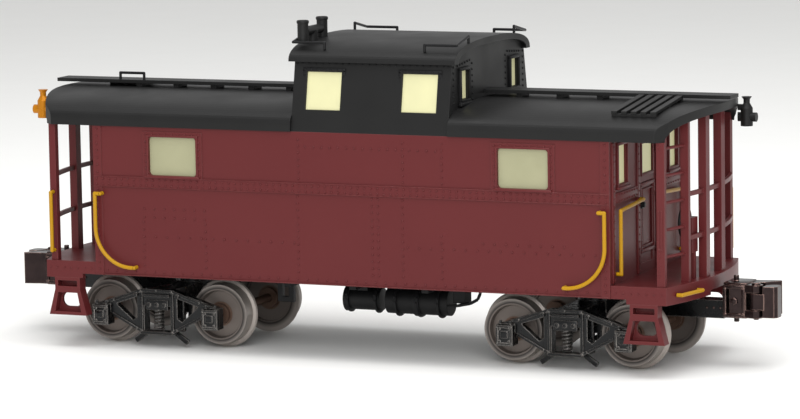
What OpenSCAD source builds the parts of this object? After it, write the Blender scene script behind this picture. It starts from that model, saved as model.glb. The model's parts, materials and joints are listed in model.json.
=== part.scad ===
// Model railway caboose with a cupola, two open end platforms and two swivelling trucks.
// X runs along the car, Z up from the bottoms of the wheel flanges, origin at the middle.
// End A is at +X. End B is end A turned half a turn about Z.

/* [Cabin] */
// Length of the cabin over its end walls
body_len = 157; // [140:1:190]
// Width of the cabin over its side walls
body_w = 61; // [58:0.5:74]
// Height of the side walls
side_h = 43; // [38:0.5:52]
// Height of the side walls' lower edge above the flange bottoms
sill_z = 21.8; // [21.4:0.1:26]
// Thickness of the cabin's walls
wall_t = 1.4; // [1.1:0.1:1.7]
// Thickness of the cabin's floor
floor_t = 2; // [1.5:0.1:3]
// How far belts, frames and corner strips stand out of the walls
trim_t = 0.3; // [0.2:0.05:0.5]

/* [Windows and doors] */
// Length of a side window
side_win_l = 14.9; // [12:0.1:18]
// Height of a side window
side_win_h = 11.1; // [9:0.1:13.5]
// Distance of a side window's middle from the middle of the car
side_win_x = 53.3; // [44:0.1:58]
// Drop of the windows' upper edge below the eave
win_drop = 2.7; // [2:0.1:4]
// Corner radius of a side window
win_r = 1.2; // [0.8:0.1:2]
// Width of an end window
end_win_w = 6.2; // [5:0.1:7.4]
// Height of an end window
end_win_h = 10.6; // [8:0.1:13]
// Distance of an end window's middle from the centre line
end_win_y = 20.6; // [18:0.1:22]
// Width of an end door
door_w = 14; // [11.5:0.1:17]
// Height of the end doors' upper edge below the eave
door_drop = 1.6; // [1:0.1:3]
// Width of a door's window
door_win_w = 8.4; // [6.5:0.1:10]
// Height of a door's window
door_win_h = 8.2; // [6.5:0.1:10]
// Thickness of the window panes
pane_t = 0.8; // [0.6:0.05:0.95]

/* [Platforms] */
// Length of a platform from the end wall to its corner
platform_len = 16; // [14.5:0.5:20]
// How far the end sill bows out at the middle
end_bow = 4.9; // [3:0.1:6]
// Thickness of a platform's deck
deck_t = 3.6; // [3:0.1:4.5]
// Drop of the sills below the deck
skirt_drop = 1.3; // [0.8:0.1:1.5]
// Thickness of the sills
skirt_t = 1.8; // [1.4:0.1:2.4]
// Half width of the notch in the end sill over the coupler
notch_half = 7; // [6:0.1:9]
// Length of the steps at the top
step_l = 8; // [7:0.1:9]
// Extra length of the steps at each side of the bottom
step_flare = 2; // [1.2:0.1:2.3]
// Depth of the steps across the car
step_depth = 3.6; // [3:0.1:3.8]
// Height of the upper step
step_upper_h = 3.5; // [3:0.1:4.5]
// Height of the lower step
step_lower_h = 7.4; // [6.2:0.1:8.2]
// Thickness of the steps' plates
step_t = 0.9; // [0.7:0.05:1.2]

/* [Roofs] */
// How far the roof stands out past the side walls
roof_over = 0.7; // [0.5:0.05:1.2]
// Height of the roof's straight edge above the eave
fascia_h = 1.8; // [1.2:0.1:2.6]
// Rise of the roof from the top of its edge to its ridge
roof_rise = 6.6; // [5:0.1:8]
// Thickness of the roof at its ridge
roof_t = 2.4; // [2:0.1:3]
// Distance of the roof's corners past the end walls
roof_end = 13.1; // [12:0.1:16]
// How far the roof's end bows out at the ridge
roof_bow = 6.9; // [5.5:0.1:8.5]
// Length of the cupola
cupola_len = 47.5; // [43:0.5:58]
// Distance of the cupola's middle from the middle of the car
cupola_x = 7.5; // [0:0.5:12]
// Height of the cupola's walls above the eave
cupola_h = 19.4; // [18.5:0.1:24]
// How far the cupola's sides lean in at the top
cupola_lean = 3.7; // [2.5:0.1:4.5]
// Overhang of the cupola's roof
cupola_over = 1.4; // [1:0.1:2]
// Rise of the cupola's roof
cupola_rise = 5.8; // [4.8:0.1:7]
// Thickness of the cupola's roof at its ridge
cupola_roof_t = 1.8; // [1.4:0.1:2.4]
// Length of a cupola side window
cup_win_l = 10.6; // [9:0.1:12.5]
// Height of a cupola side window
cup_win_h = 10.5; // [9:0.1:12]
// Distance of a cupola side window from the middle of the cupola
cup_win_x = 14.5; // [12.5:0.1:15.5]
// Height of the cupola windows' lower edge above the eave
cup_win_z = 6.1; // [5.2:0.1:6.8]
// Width of a cupola end window
cup_end_win_w = 5.6; // [4.6:0.1:6.4]
// Height of a cupola end window
cup_end_win_h = 7.9; // [6.5:0.1:9]
// Distance of a cupola end window from the centre line
cup_end_win_y = 18.5; // [16:0.1:19.5]

/* [Roof fittings] */
// Width of the running boards
board_w = 7; // [6:0.1:8.5]
// Thickness of the running boards
board_t = 1; // [0.8:0.1:1.4]
// Height of the boards' underside above the ridge
board_gap = 1; // [0.7:0.1:1.6]
// How far the boards stand out past the roof's end
board_over = 2.4; // [1.5:0.1:3]
// Diameter of the smoke jack's tubes
jack_d = 3.1; // [2.5:0.1:3.6]
// Distance between the smoke jack's tubes
jack_gap = 13; // [10.5:0.1:15]
// Height of the smoke jack's tubes
jack_h = 7; // [5.6:0.1:8.4]
// Diameter of the wire of grab irons and handrails
wire_d = 1.1; // [0.9:0.05:1.4]
// Diameter of the fine wire on the roofs
fine_d = 0.8; // [0.6:0.05:1]

/* [Trucks] */
// Distance of a truck's pivot from the middle of the car
truck_x = 62.7; // [61:0.1:64]
// Distance between a truck's axles
wheel_base = 34.9; // [33:0.1:36.5]
// Diameter of the wheels' treads
tread_d = 17.46; // [16:0.02:18]
// Height of the flanges above the treads
flange_h = 1.3; // [1:0.05:1.35]
// Thickness of a flange
flange_t = 1.2; // [1:0.05:1.4]
// Distance between the backs of a wheelset's wheels
back_gap = 28; // [27:0.1:28.4]
// Width of a wheel
wheel_w = 5; // [4.4:0.1:5.2]
// Diameter of an axle
axle_d = 2.6; // [2.2:0.1:3.2]
// Diameter of an axle's journals
journal_d = 1.8; // [1.5:0.1:2.2]
// Thickness of a side frame
frame_t = 2.4; // [2:0.1:2.6]
// Free space between a wheel's face and its side frame
frame_gap = 2.4; // [2:0.1:2.6]
// How far the journal boxes stand out of the side frames
box_out = 1.6; // [1.2:0.1:1.8]
// Width of a journal box
box_w = 4.8; // [4.2:0.1:5]
// Diameter of the king pins
king_d = 3; // [2.5:0.1:3.6]
// Diameter of a truck spring
spring_d = 2.8; // [2.2:0.1:3.2]

/* [Couplers] */
// Distance between the tips of the two couplers
coupler_span = 235; // [228:1:242]
// Height of a coupler head
head_h = 9.2; // [8.4:0.1:10]
// Width of a coupler head
head_w = 10.4; // [9:0.1:11]
// Length of a coupler head
head_l = 16; // [14.8:0.1:16.4]
// Diameter of the knuckle pin
knuckle_pin_d = 1.6; // [1.2:0.1:2]

/* [Fits] */
// Radial clearance of a pin or journal in its bore
run_clear = 0.05; // [0.03:0.01:0.08]
// Gap between flat faces that turn on each other
face_gap = 0.2; // [0.1:0.05:0.3]

/* [Hidden] */
$fn = 48;
far = 400;
eps = 0.01;

maroon = "#6e3335";
roof_black = "#2f2f31";
lit = "#e6e6b4";
yellow = "#d8a020";
iron_black = "#26272a";
wheel_steel = "#7d7770";
bronze = "#3a2c2a";
gold = "#d99a1c";

// Cabin and platforms
half_len = body_len / 2;
half_w = body_w / 2;
eave_z = sill_z + side_h;
corner_x = half_len + platform_len;
sill_r = (half_w * half_w + end_bow * end_bow) / (2 * end_bow);
sill_cx = corner_x + end_bow - sill_r;
deck_z = sill_z + deck_t;
skirt_z = sill_z - skirt_drop;
door_z = eave_z - door_drop;
side_win_z = eave_z - win_drop - side_win_h / 2;
end_win_z = eave_z - win_drop + 0.8 - end_win_h / 2;
door_win_z = eave_z - win_drop - 0.9 - door_win_h / 2;
belt_z = side_win_z - side_win_h / 2 - 0.7;
belt_h = 2.8;
frame_rims = [1.9, 1.4];
corner_strip = 2.6;

// Roof
roof_half = half_w + roof_over;
fascia_z = eave_z + fascia_h;
ridge_z = fascia_z + roof_rise;
roof_x = half_len + roof_end;
roof_cut_x = 3;
roof_cut_y = 2.7;
bow_half = roof_half - roof_cut_y;
roof_r = (bow_half * bow_half + roof_bow * roof_bow) / (2 * roof_bow);
roof_cx = roof_x + roof_cut_x + roof_bow - roof_r;
arch_power = 2.5;
arch_steps = 20;

// Cupola
cup_x0 = cupola_x - cupola_len / 2;
cup_x1 = cupola_x + cupola_len / 2;
cup_top_z = eave_z + cupola_h;
cup_half = half_w - cupola_lean;
cup_roof_half = cup_half + cupola_over;
cup_ridge_z = cup_top_z + cupola_rise;
cup_mid_z = eave_z + cup_win_z + cup_win_h / 2;
cup_end_rise = 1.8;

// Running boards
board_x = roof_x + roof_cut_x + roof_bow + board_over;
board_z = ridge_z + board_gap;
support_step = 12;
support_l = 1.6;

// Steps
step_x = corner_x - 6.5;
step_h = step_upper_h + step_lower_h;
step_bottom = skirt_z - step_h;
step_inner = half_w - step_depth;

// Posts, ladder and rails of an end
post_l = 2.3;
post_w = 3;
post_inset = 0.9;
mid_post_y = 6.4;
corner_post = 2;
corner_inset = 2.4;
stringer_w = 1.6;
ladder_w = 12;
edge_gap = 0.6;
rung_d = 0.9;
rung_pitch = 7.4;
rung_first = 8;
rail_h = 1.2;
rail_t = 1;
rail_zs = [deck_z + 11.4, deck_z + 23.4];
rail_r = sill_r - post_inset - post_l / 2;
rail_corner_y = half_w - corner_post / 2 - edge_gap;
corner_post_x = corner_x - corner_inset + corner_post / 2;

// Hand brake
stand_y = -10.6;
housing_w = 4.6;
housing_t = 1.6;
housing_h = 9.6;
housing_z = deck_z + 7.3;
shaft_l = 0.8;
shaft_d = 1.6;
brake_wheel_z = housing_z + 8.2;
stand_gap = 0.1;
stand_x = bow_x(stand_y - housing_w / 2) - post_l / 2 - rail_t / 2 - stand_gap;

// Brake equipment under the floor
gear_y = -12;
gear_z = sill_z - 6.2;
hanger_half = 2;

// Trucks
tread_r = tread_d / 2;
flange_r = tread_r + flange_h;
axle_z = flange_r;
wheel_face_y = back_gap / 2 + wheel_w;
frame_y = wheel_face_y + frame_gap;
box_y = frame_y + frame_t + box_out;
axle_x = wheel_base / 2;
bolster_half = 4;
bolster_z0 = axle_z + 2.3;
bolster_z1 = bolster_z0 + 4.4;
centre_z = bolster_z1 + 1.6;
frame_top = axle_z + 7.1;
frame_bottom = axle_z - 6.1;
plank_t = 1.1;
column_x = 4.2;
tongue_half = 2.8;
tongue_z0 = axle_z + axle_d / 2 + 2;
tongue_z1 = tongue_z0 + 5;
journal_depth = box_y - 1;
shoe_gap = 0.4;

// Couplers
head_x = coupler_span / 2 - head_l;
head_z0 = tongue_z0 + 0.8;
lug_t = 2.2;
pin_x = head_l - 6.4;
pin_y = -head_w * 0.36;
hub_r = 2.1;

// Turn to end B
module end_b() {
    rotate([0, 0, 180])
        children();
}

// A box given by its low and high corners
module box(a, b) {
    translate(a)
        cube([b[0] - a[0], b[1] - a[1], b[2] - a[2]]);
}

// Two mirror images across the car
module both_sides() {
    children();
    mirror([0, 1, 0])
        children();
}

// Two mirror images along the car
module both_ends() {
    children();
    mirror([1, 0, 0])
        children();
}

// A profile drawn in Y and Z, run along X between two places
module along_x(x0, x1) {
    translate([x0, 0, 0])
        rotate([90, 0, 90])
            linear_extrude(x1 - x0)
                children();
}

// A profile drawn in X and Z, run along Y between two places
module along_y(y0, y1) {
    translate([0, y1, 0])
        rotate([90, 0, 0])
            linear_extrude(y1 - y0)
                children();
}

// A straight wire between two points
module wire(a, b, d = wire_d) {
    v = b - a;
    run = norm(v);
    translate(a)
        rotate([0, acos(v[2] / run), atan2(v[1], v[0])])
            cylinder(d = d, h = run, $fn = 24);
}

// A wire through a list of points, with round bends
module wire_path(points, d = wire_d) {
    for (i = [0:len(points) - 2])
        wire(points[i], points[i + 1], d);
    for (i = [1:len(points) - 2])
        translate(points[i])
            sphere(d = d * 1.02, $fn = 24);
}

// A rectangle with round corners about its middle
module round_rect(w, h, r) {
    square([w - 2 * r, h], center = true);
    square([w, h - 2 * r], center = true);
    for (sx = [-1, 1], sy = [-1, 1])
        translate([sx * (w / 2 - r), sy * (h / 2 - r)])
            circle(r, $fn = 24);
}

// Points of an arch from one edge to the other
function arch(half, rise, z) = [for (i = [0:2 * arch_steps])
    let (a = 180 * i / (2 * arch_steps), c = cos(a), s = sin(a))
    [half * sign(c) * pow(abs(c), 2 / arch_power), z + rise * pow(max(s, 0), 2 / arch_power)]];

// The space under the main roof's inner face
module under_roof_2d() {
    polygon(concat([[-half_w + wall_t, -far]], [[half_w - wall_t, -far]],
        arch(half_w - wall_t, ridge_z - roof_t - eave_z, eave_z)));
    translate([-far, -far])
        square([2 * far, far + eave_z]);
}

// The main roof's outer outline
module roof_outer_2d() {
    polygon(concat([[-roof_half, eave_z], [roof_half, eave_z]], arch(roof_half, roof_rise, fascia_z)));
}

// The roof's outline from above: bowed ends with cut corners
module roof_plan_2d() {
    reach = 4;
    cut = [roof_x + reach * roof_cut_x, roof_half - reach * roof_cut_y];
    intersection() {
        polygon([[roof_x, roof_half], cut, [cut[0], -cut[1]], [roof_x, -roof_half],
            [-roof_x, -roof_half], -cut, [-cut[0], cut[1]], [-roof_x, roof_half]]);
        union() {
            square([2 * roof_cx, far], center = true);
            for (s = [-1, 1])
                translate([s * roof_cx, 0])
                    circle(roof_r, $fn = 120);
        }
    }
}

// Height of the cupola roof's outer face at a distance from the centre line
function cupola_top(y) = cup_top_z
    + cupola_rise * pow(1 - pow(y / cup_roof_half, arch_power), 1 / arch_power);

// Place of the bowed end sill's face at a distance from the centre line
function sill_x(y) = sill_cx + sqrt(pow(sill_r, 2) - pow(y, 2));

// Place of the bowed line of the railing's outer faces at a distance from the centre line
function bow_x(y) = sill_cx + sqrt(pow(sill_r - post_inset, 2) - pow(y, 2));

// The space under the cupola's roof
module under_cupola_2d() {
    polygon(concat([[-cup_half + wall_t, -far]], [[cup_half - wall_t, -far]],
        arch(cup_half - wall_t, cupola_rise - cupola_roof_t, cup_top_z)));
    translate([-far, -far])
        square([2 * far, far + cup_top_z]);
}

// The cupola's cross-section between its leaning sides, drawn in by a distance
module cupola_2d(inset) {
    polygon([[-half_w + inset, eave_z], [half_w - inset, eave_z],
        [cup_half - inset, cup_top_z], [-cup_half + inset, cup_top_z]]);
}

// The platform's outline from above, drawn in by a distance
module platform_2d(inset) {
    intersection() {
        translate([0, -half_w + inset])
            square([far, body_w - 2 * inset]);
        translate([sill_cx, 0])
            circle(sill_r - inset, $fn = 160);
    }
}

// Window openings of the side walls
module side_openings() {
    for (s = [-1, 1])
        translate([s * side_win_x, side_win_z])
            round_rect(side_win_l, side_win_h, win_r);
}

// Window openings of an end wall, drawn in Y and Z
module end_openings() {
    for (s = [-1, 1])
        translate([s * end_win_y, end_win_z])
            square([end_win_w, end_win_h], center = true);
}

// Side window openings of the cupola, drawn in X and Z
module cupola_side_openings() {
    for (s = [-1, 1])
        translate([cupola_x + s * cup_win_x, cup_mid_z])
            square([cup_win_l, cup_win_h], center = true);
}

// End window openings of the cupola, drawn in Y and Z
module cupola_end_openings() {
    for (s = [-1, 1])
        translate([s * cup_end_win_y, cup_mid_z + cup_end_rise])
            square([cup_end_win_w, cup_end_win_h], center = true);
}

// Floor, centre sill, cross-bearers and the king pins of the trucks
module underframe() {
    sill_half = truck_x - axle_x - flange_r - 2;
    color(iron_black) {
        box([-half_len + wall_t, -half_w + wall_t, sill_z],
            [half_len - wall_t, half_w - wall_t, sill_z + floor_t]);
        box([-sill_half, -3.5, sill_z - 4], [sill_half, 3.5, sill_z]);
        for (x = [-20, 0, 22])
            box([x - 1, -half_w + 4, sill_z - 1.6], [x + 1, half_w - 4, sill_z]);
        for (s = [-1, 1])
            translate([s * truck_x, 0, 0]) {
                translate([0, 0, centre_z + face_gap])
                    cylinder(r = 5, h = sill_z - centre_z - face_gap);
                translate([0, 0, bolster_z0 - face_gap - 1])
                    cylinder(d = king_d, h = sill_z - bolster_z0 + face_gap + 1);
                translate([0, 0, bolster_z0 - face_gap - 1])
                    cylinder(d = king_d + 2.6, h = 1);
            }
    }
}

// Deck of an end platform with its side sills and bowed end sill
module platform() {
    color(maroon)
        difference() {
            union() {
                translate([0, 0, sill_z])
                    linear_extrude(deck_t)
                        intersection() {
                            platform_2d(0);
                            translate([half_len, -half_w])
                                square([far, body_w]);
                        }
                translate([0, 0, skirt_z])
                    linear_extrude(skirt_drop)
                        intersection() {
                            difference() {
                                platform_2d(0);
                                platform_2d(skirt_t);
                            }
                            translate([step_x - step_l / 2 - 1, -half_w])
                                square([far, body_w]);
                        }
            }
            box([corner_x, -notch_half, skirt_z - 1], [far, notch_half, sill_z]);
        }
}

// One pair of corner steps under a platform: a riser with side plates and two treads
module steps() {
    top_half = step_l / 2;
    low_half = top_half + step_flare;
    mid_z = step_bottom + step_lower_h;
    foot_open = [6, 4.1, 1.9];
    color(maroon)
        both_sides()
            translate([step_x, 0, 0])
                difference() {
                    along_y(step_inner, half_w)
                        polygon([[-low_half, step_bottom], [low_half, step_bottom], [top_half, mid_z],
                            [top_half, skirt_z], [-top_half, skirt_z], [-top_half, mid_z]]);
                    box([-top_half + step_t, step_inner + step_t, mid_z + step_t],
                        [top_half - step_t, far, skirt_z - step_t]);
                    along_y(step_inner + step_t, half_w + 1)
                        polygon([[-low_half + 2 * step_t, step_bottom + step_t],
                            [low_half - 2 * step_t, step_bottom + step_t],
                            [top_half - step_t, mid_z - step_t], [-top_half + step_t, mid_z - step_t]]);
                    along_y(step_inner - 1, half_w + 1)
                        translate([0, step_bottom + step_lower_h / 2 + step_t / 2])
                            round_rect(foot_open[0], foot_open[1], foot_open[2]);
                }
}

// A side wall on the right of the car, with its belt, corner strips and window frames
module side_wall() {
    color(maroon) {
        along_y(-half_w, -half_w + wall_t)
            difference() {
                translate([-half_len, sill_z])
                    square([body_len, side_h]);
                side_openings();
            }
        along_y(-half_w - trim_t, -half_w)
            difference() {
                union() {
                    translate([-half_len, belt_z - belt_h])
                        square([body_len, belt_h]);
                    for (s = [-1, 1]) {
                        translate([s * (half_len - corner_strip / 2), sill_z + side_h / 2])
                            square([corner_strip, side_h], center = true);
                        translate([s * side_win_x, side_win_z])
                            square([side_win_l, side_win_h] + 2 * frame_rims, center = true);
                    }
                }
                side_openings();
            }
    }
}

// An end wall between the side walls, open for its door and windows
module end_wall() {
    color(maroon)
        along_x(half_len - wall_t, half_len)
            difference() {
                intersection() {
                    translate([-half_w + wall_t, sill_z])
                        square([body_w - 2 * wall_t, far]);
                    under_roof_2d();
                }
                end_openings();
                translate([-door_w / 2, deck_z])
                    square([door_w, door_z - deck_z]);
            }
}

// A door that fills the doorway, with its window and a sunk lower panel
module door() {
    panel_top = door_win_z - door_win_h / 2 - 2.4;
    panel_bottom = deck_z + 2.6;
    color(maroon)
        difference() {
            along_x(half_len - wall_t, half_len - 0.3)
                difference() {
                    translate([-door_w / 2, deck_z])
                        square([door_w, door_z - deck_z]);
                    translate([0, door_win_z])
                        square([door_win_w, door_win_h], center = true);
                }
            box([half_len - 0.6, -door_win_w / 2, panel_bottom], [half_len, door_win_w / 2, panel_top]);
        }
}

// The main roof on both sides of the cupola
module roof() {
    color(roof_black)
        for (x = [[-far, cup_x0], [cup_x1, far]])
            intersection() {
                along_x(x[0], x[1])
                    difference() {
                        roof_outer_2d();
                        under_roof_2d();
                    }
                translate([0, 0, eave_z])
                    linear_extrude(far)
                        roof_plan_2d();
            }
}

// The cupola's four walls
module cupola() {
    color(roof_black) {
        difference() {
            along_x(cup_x0, cup_x1)
                difference() {
                    cupola_2d(0);
                    cupola_2d(wall_t);
                }
            along_y(-half_w - 1, half_w + 1)
                cupola_side_openings();
        }
        for (x = [cup_x0, cup_x1 - wall_t])
            along_x(x, x + wall_t)
                difference() {
                    union() {
                        cupola_2d(wall_t);
                        intersection() {
                            translate([-far, cup_top_z - eps])
                                square([2 * far, cupola_rise]);
                            under_cupola_2d();
                            translate([-cup_half + wall_t, 0])
                                square([2 * (cup_half - wall_t), far]);
                        }
                    }
                    cupola_end_openings();
                }
    }
}

// The cupola's roof with its rounded edges
module cupola_roof() {
    color(roof_black)
        along_x(cup_x0 - cupola_over, cup_x1 + cupola_over)
            difference() {
                polygon(arch(cup_roof_half, cupola_rise, cup_top_z));
                under_cupola_2d();
            }
}

// Boards along the ridge on blocks, and a slatted board beside each at its ladder
module running_boards() {
    slats = 5;
    slat_w = 1.6;
    slat_pitch = 2.8;
    slat_t = 0.8;
    slat_x = half_len - 1;
    slat_angle = 6;
    slat_reach = 22.6;
    cleat_w = 1.2;
    block_in = 0.6;
    color(roof_black) {
        box([cup_x1, -board_w / 2, board_z], [board_x, board_w / 2, board_z + board_t]);
        box([-board_x, -board_w / 2, board_z], [cup_x0, board_w / 2, board_z + board_t]);
        intersection() {
            difference() {
                for (s = [-1, 1], x = [half_len - 1:-support_step:0])
                    box([s * x - support_l / 2, -board_w / 2 + block_in, ridge_z - roof_t / 2],
                        [s * x + support_l / 2, board_w / 2 - block_in, board_z]);
                along_x(-far, far)
                    roof_outer_2d();
            }
            union() {
                box([cup_x1, -far, 0], [far, far, far]);
                box([-far, -far, 0], [cup_x0, far, far]);
            }
        }
        for (turn = [0, 180])
            rotate([0, 0, turn])
                difference() {
                    translate([slat_x, -board_w / 2, board_z])
                        rotate([slat_angle, 0, 0]) {
                            for (i = [0:slats - 1])
                                box([i * slat_pitch, -slat_reach, 0], [i * slat_pitch + slat_w, 0, slat_t]);
                            for (y = [slat_t, slat_reach / 2, slat_reach - slat_t])
                                box([0, -y - cleat_w / 2, -roof_t],
                                    [(slats - 1) * slat_pitch + slat_w, -y + cleat_w / 2, 0]);
                        }
                    along_x(-far, far)
                        roof_outer_2d();
                    box([0, -board_w / 2, board_z - roof_t], [far, 0, far]);
                }
    }
}

// Panes in the side walls' windows
module side_windows() {
    color(lit)
        both_sides()
            along_y(half_w - wall_t, half_w - wall_t + pane_t)
                side_openings();
}

// Panes in the end walls' windows
module end_windows() {
    color(lit)
        both_ends()
            along_x(half_len - wall_t, half_len - wall_t + pane_t)
                end_openings();
}

// Panes in the doors
module door_windows() {
    color(lit)
        both_ends()
            along_x(half_len - wall_t, half_len - wall_t + pane_t)
                translate([0, door_win_z])
                    square([door_win_w, door_win_h], center = true);
}

// Panes in the cupola's side and end windows
module cupola_windows() {
    color(lit) {
        intersection() {
            along_x(cup_x0, cup_x1)
                difference() {
                    cupola_2d(wall_t - pane_t);
                    cupola_2d(wall_t);
                }
            along_y(-half_w, half_w)
                cupola_side_openings();
        }
        for (x = [cup_x0 + wall_t - pane_t, cup_x1 - wall_t])
            along_x(x, x + pane_t)
                cupola_end_openings();
    }
}

// Grab irons on the roofs: a staple on the running board and an angled iron at each cupola corner
module roof_grab_irons() {
    grab_rise = 1.9;
    staple = [half_len - 2.6, half_len + 5.1];
    staple_y = -board_w / 2 + 1;
    staple_z = board_z + board_t;
    edge_in = 0.4;
    corner_y = 25.6;
    inner_y = 17;
    arm = 9.6;
    color(iron_black) {
        wire_path([[-staple[0], staple_y, staple_z], [-staple[0], staple_y, staple_z + grab_rise],
            [-staple[1], staple_y, staple_z + grab_rise], [-staple[1], staple_y, staple_z]], fine_d);
        for (sx = [-1, 1], sy = [-1, 1])
            wire_path([for (p = [[0, inner_y, 0], [0, inner_y, 1], [0, corner_y, 1], [arm, corner_y, 1],
                [arm, corner_y, 0]]) [cupola_x + sx * (cupola_len / 2 + cupola_over - edge_in - p[0]),
                    sy * p[1], cupola_top(p[1] - fine_d / 2) + p[2] * grab_rise]], fine_d);
    }
}

// The filled shape of the cupola's roof
module cupola_solid() {
    along_x(cup_x0 - cupola_over, cup_x1 + cupola_over)
        union() {
            polygon(arch(cup_roof_half, cupola_rise, cup_top_z));
            translate([-cup_roof_half, 0])
                square([2 * cup_roof_half, cup_top_z + eps]);
        }
}

// Smoke jack: two upright tubes joined by a cross pipe on a stem
module smoke_jack() {
    jack_x = cup_x0 + 1.1;
    jack_y = -17;
    top_z = cup_ridge_z + jack_h - 1.6;
    link_z = top_z - 3.2;
    color(iron_black)
        difference() {
            union() {
                for (s = [-1, 1])
                    translate([jack_x, jack_y + s * jack_gap / 2, top_z - jack_h + 1])
                        difference() {
                            cylinder(d = jack_d, h = jack_h - 1);
                            translate([0, 0, jack_h - 2.5])
                                cylinder(d = jack_d - 0.8, h = 3);
                        }
                translate([jack_x, jack_y + jack_gap / 2 - jack_d / 2 + 0.2, link_z])
                    rotate([90, 0, 0])
                        cylinder(d = jack_d - 0.5, h = jack_gap - jack_d + 0.4);
                translate([jack_x, jack_y, cup_top_z])
                    cylinder(d = jack_d, h = link_z - cup_top_z);
            }
            cupola_solid();
        }
}

// A marker lamp on the roof's end, held by its bracket
module marker_lamp() {
    lamp_y = 16;
    lamp_d = 3.4;
    neck_d = 1.8;
    cap_d = 2.9;
    lens_d = 2.6;
    lens_out = 1.2;
    stand_off = 0.5;
    body_h = 5;
    shoulder_h = 1.4;
    neck_h = 1;
    cap_h = 0.8;
    bracket = [0.8, 1.6];
    lamp_x = roof_cx + sqrt(pow(roof_r, 2) - pow(lamp_y - lamp_d / 2, 2)) + lamp_d / 2 + stand_off;
    difference() {
        union() {
            translate([lamp_x, lamp_y, eave_z]) {
                cylinder(d = lamp_d, h = body_h);
                translate([0, 0, body_h])
                    cylinder(d1 = lamp_d, d2 = neck_d, h = shoulder_h);
                translate([0, 0, body_h + shoulder_h])
                    cylinder(d = neck_d, h = neck_h);
                translate([0, 0, body_h + shoulder_h + neck_h])
                    cylinder(d1 = neck_d, d2 = cap_d, h = cap_h);
                for (a = [0, 180])
                    translate([0, 0, body_h / 2])
                        rotate([0, 90, a])
                            cylinder(d = lens_d, h = lamp_d / 2 + lens_out);
            }
            box([lamp_x - lamp_d - 1, lamp_y - bracket[0], ridge_z - roof_t - bracket[1]],
                [lamp_x, lamp_y + bracket[0], ridge_z - roof_t]);
        }
        translate([0, 0, eave_z - 1])
            linear_extrude(far)
                roof_plan_2d();
    }
}

// An upright of the end railing between deck and roof
module post(x, y, l, w) {
    intersection() {
        box([x - l, y - w / 2, deck_z], [x, y + w / 2, far]);
        along_x(0, far)
            under_roof_2d();
    }
}

// Posts and rails of an end, from the ladder round to the far corner
module end_railing() {
    color(maroon) {
        for (y = [-mid_post_y, mid_post_y])
            post(bow_x(y), y, post_l, post_w);
        post(corner_post_x, rail_corner_y, corner_post, corner_post);
        for (z = rail_zs)
            translate([0, 0, z])
                linear_extrude(rail_h)
                    intersection() {
                        translate([sill_cx, 0])
                            difference() {
                                circle(rail_r + rail_t / 2, $fn = 160);
                                circle(rail_r - rail_t / 2, $fn = 160);
                            }
                        translate([half_len, -half_w + ladder_w + stringer_w])
                            square([far, body_w - ladder_w - stringer_w - corner_post / 2 - edge_gap]);
                    }
    }
}

// Ladder at the other corner, from the deck to the roof
module ladder() {
    outer_y = -half_w + stringer_w / 2 + edge_gap;
    inner_y = -half_w + ladder_w + stringer_w / 2;
    color(maroon) {
        post(bow_x(outer_y), outer_y, post_l, stringer_w);
        post(bow_x(inner_y), inner_y, post_l, stringer_w);
        for (i = [0:4])
            wire([bow_x(outer_y) - post_l / 2, outer_y, deck_z + rung_first + i * rung_pitch],
                [bow_x(inner_y) - post_l / 2, inner_y, deck_z + rung_first + i * rung_pitch], rung_d);
    }
}

// Stand of the hand brake with its gear housing and the wheel's shaft
module brake_stand() {
    column = [1.4, 1.6];
    color(maroon) {
        box([stand_x - column[0], stand_y - column[1] / 2, deck_z],
            [stand_x, stand_y + column[1] / 2, housing_z]);
        box([stand_x - housing_t, stand_y - housing_w / 2, housing_z],
            [stand_x, stand_y + housing_w / 2, housing_z + housing_h]);
        translate([stand_x - housing_t - shaft_l, stand_y, brake_wheel_z])
            rotate([0, 90, 0])
                cylinder(d = shaft_d, h = shaft_l);
    }
}

// Hand-brake wheel: a rim, a hub and four spokes
module brake_wheel() {
    ring_r = 4.3;
    rim_d = 1;
    hub_d = 2.2;
    spoke = 0.7;
    color(maroon)
        translate([stand_x - housing_t - shaft_l - rim_d, stand_y, brake_wheel_z])
            rotate([0, 90, 0]) {
                rotate_extrude()
                    translate([ring_r, rim_d / 2])
                        circle(d = rim_d, $fn = 16);
                cylinder(d = hub_d, h = rim_d);
                for (a = [0, 90])
                    rotate([0, 0, a])
                        translate([-ring_r, -spoke / 2, (rim_d - spoke) / 2])
                            cube([2 * ring_r, spoke, spoke]);
            }
}

// A long curved grab iron on a side wall at each corner
module side_grab_irons() {
    leg_x = half_len - 1;
    arc_r = 11.2;
    foot_z = sill_z + 2.6;
    hook_z = sill_z + 23.6;
    hook = 1.7;
    wire_y = half_w + trim_t + wire_d / 2 + 0.9;
    color(yellow)
        both_sides()
            both_ends() {
                wire_path([[leg_x - hook, half_w + trim_t, hook_z], [leg_x - hook, wire_y, hook_z],
                    [leg_x, wire_y, hook_z], [leg_x, wire_y, foot_z + arc_r]]);
                translate([leg_x - arc_r, wire_y, foot_z + arc_r])
                    rotate([90, 90, 0])
                        rotate_extrude(angle = 90, $fn = 72)
                            translate([arc_r, 0])
                                circle(d = wire_d, $fn = 24);
                wire_path([[leg_x - arc_r, wire_y, foot_z], [leg_x - arc_r - 0.8, wire_y, foot_z],
                    [leg_x - arc_r - 0.8, half_w, foot_z]]);
            }
}

// Handrails on the end walls at each side of the doors
module end_handrails() {
    rail_x = half_len + wire_d / 2 + 1;
    top_z = deck_z + 21;
    low_z = deck_z + 2.6;
    in_y = door_w / 2 + 1;
    out_y = half_w - 4.4;
    color(yellow)
        both_sides()
            both_ends()
                wire_path([[half_len, in_y, top_z], [rail_x, in_y, top_z], [rail_x, out_y, top_z - 1],
                    [rail_x, out_y, low_z], [half_len, out_y, low_z]]);
}

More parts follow.
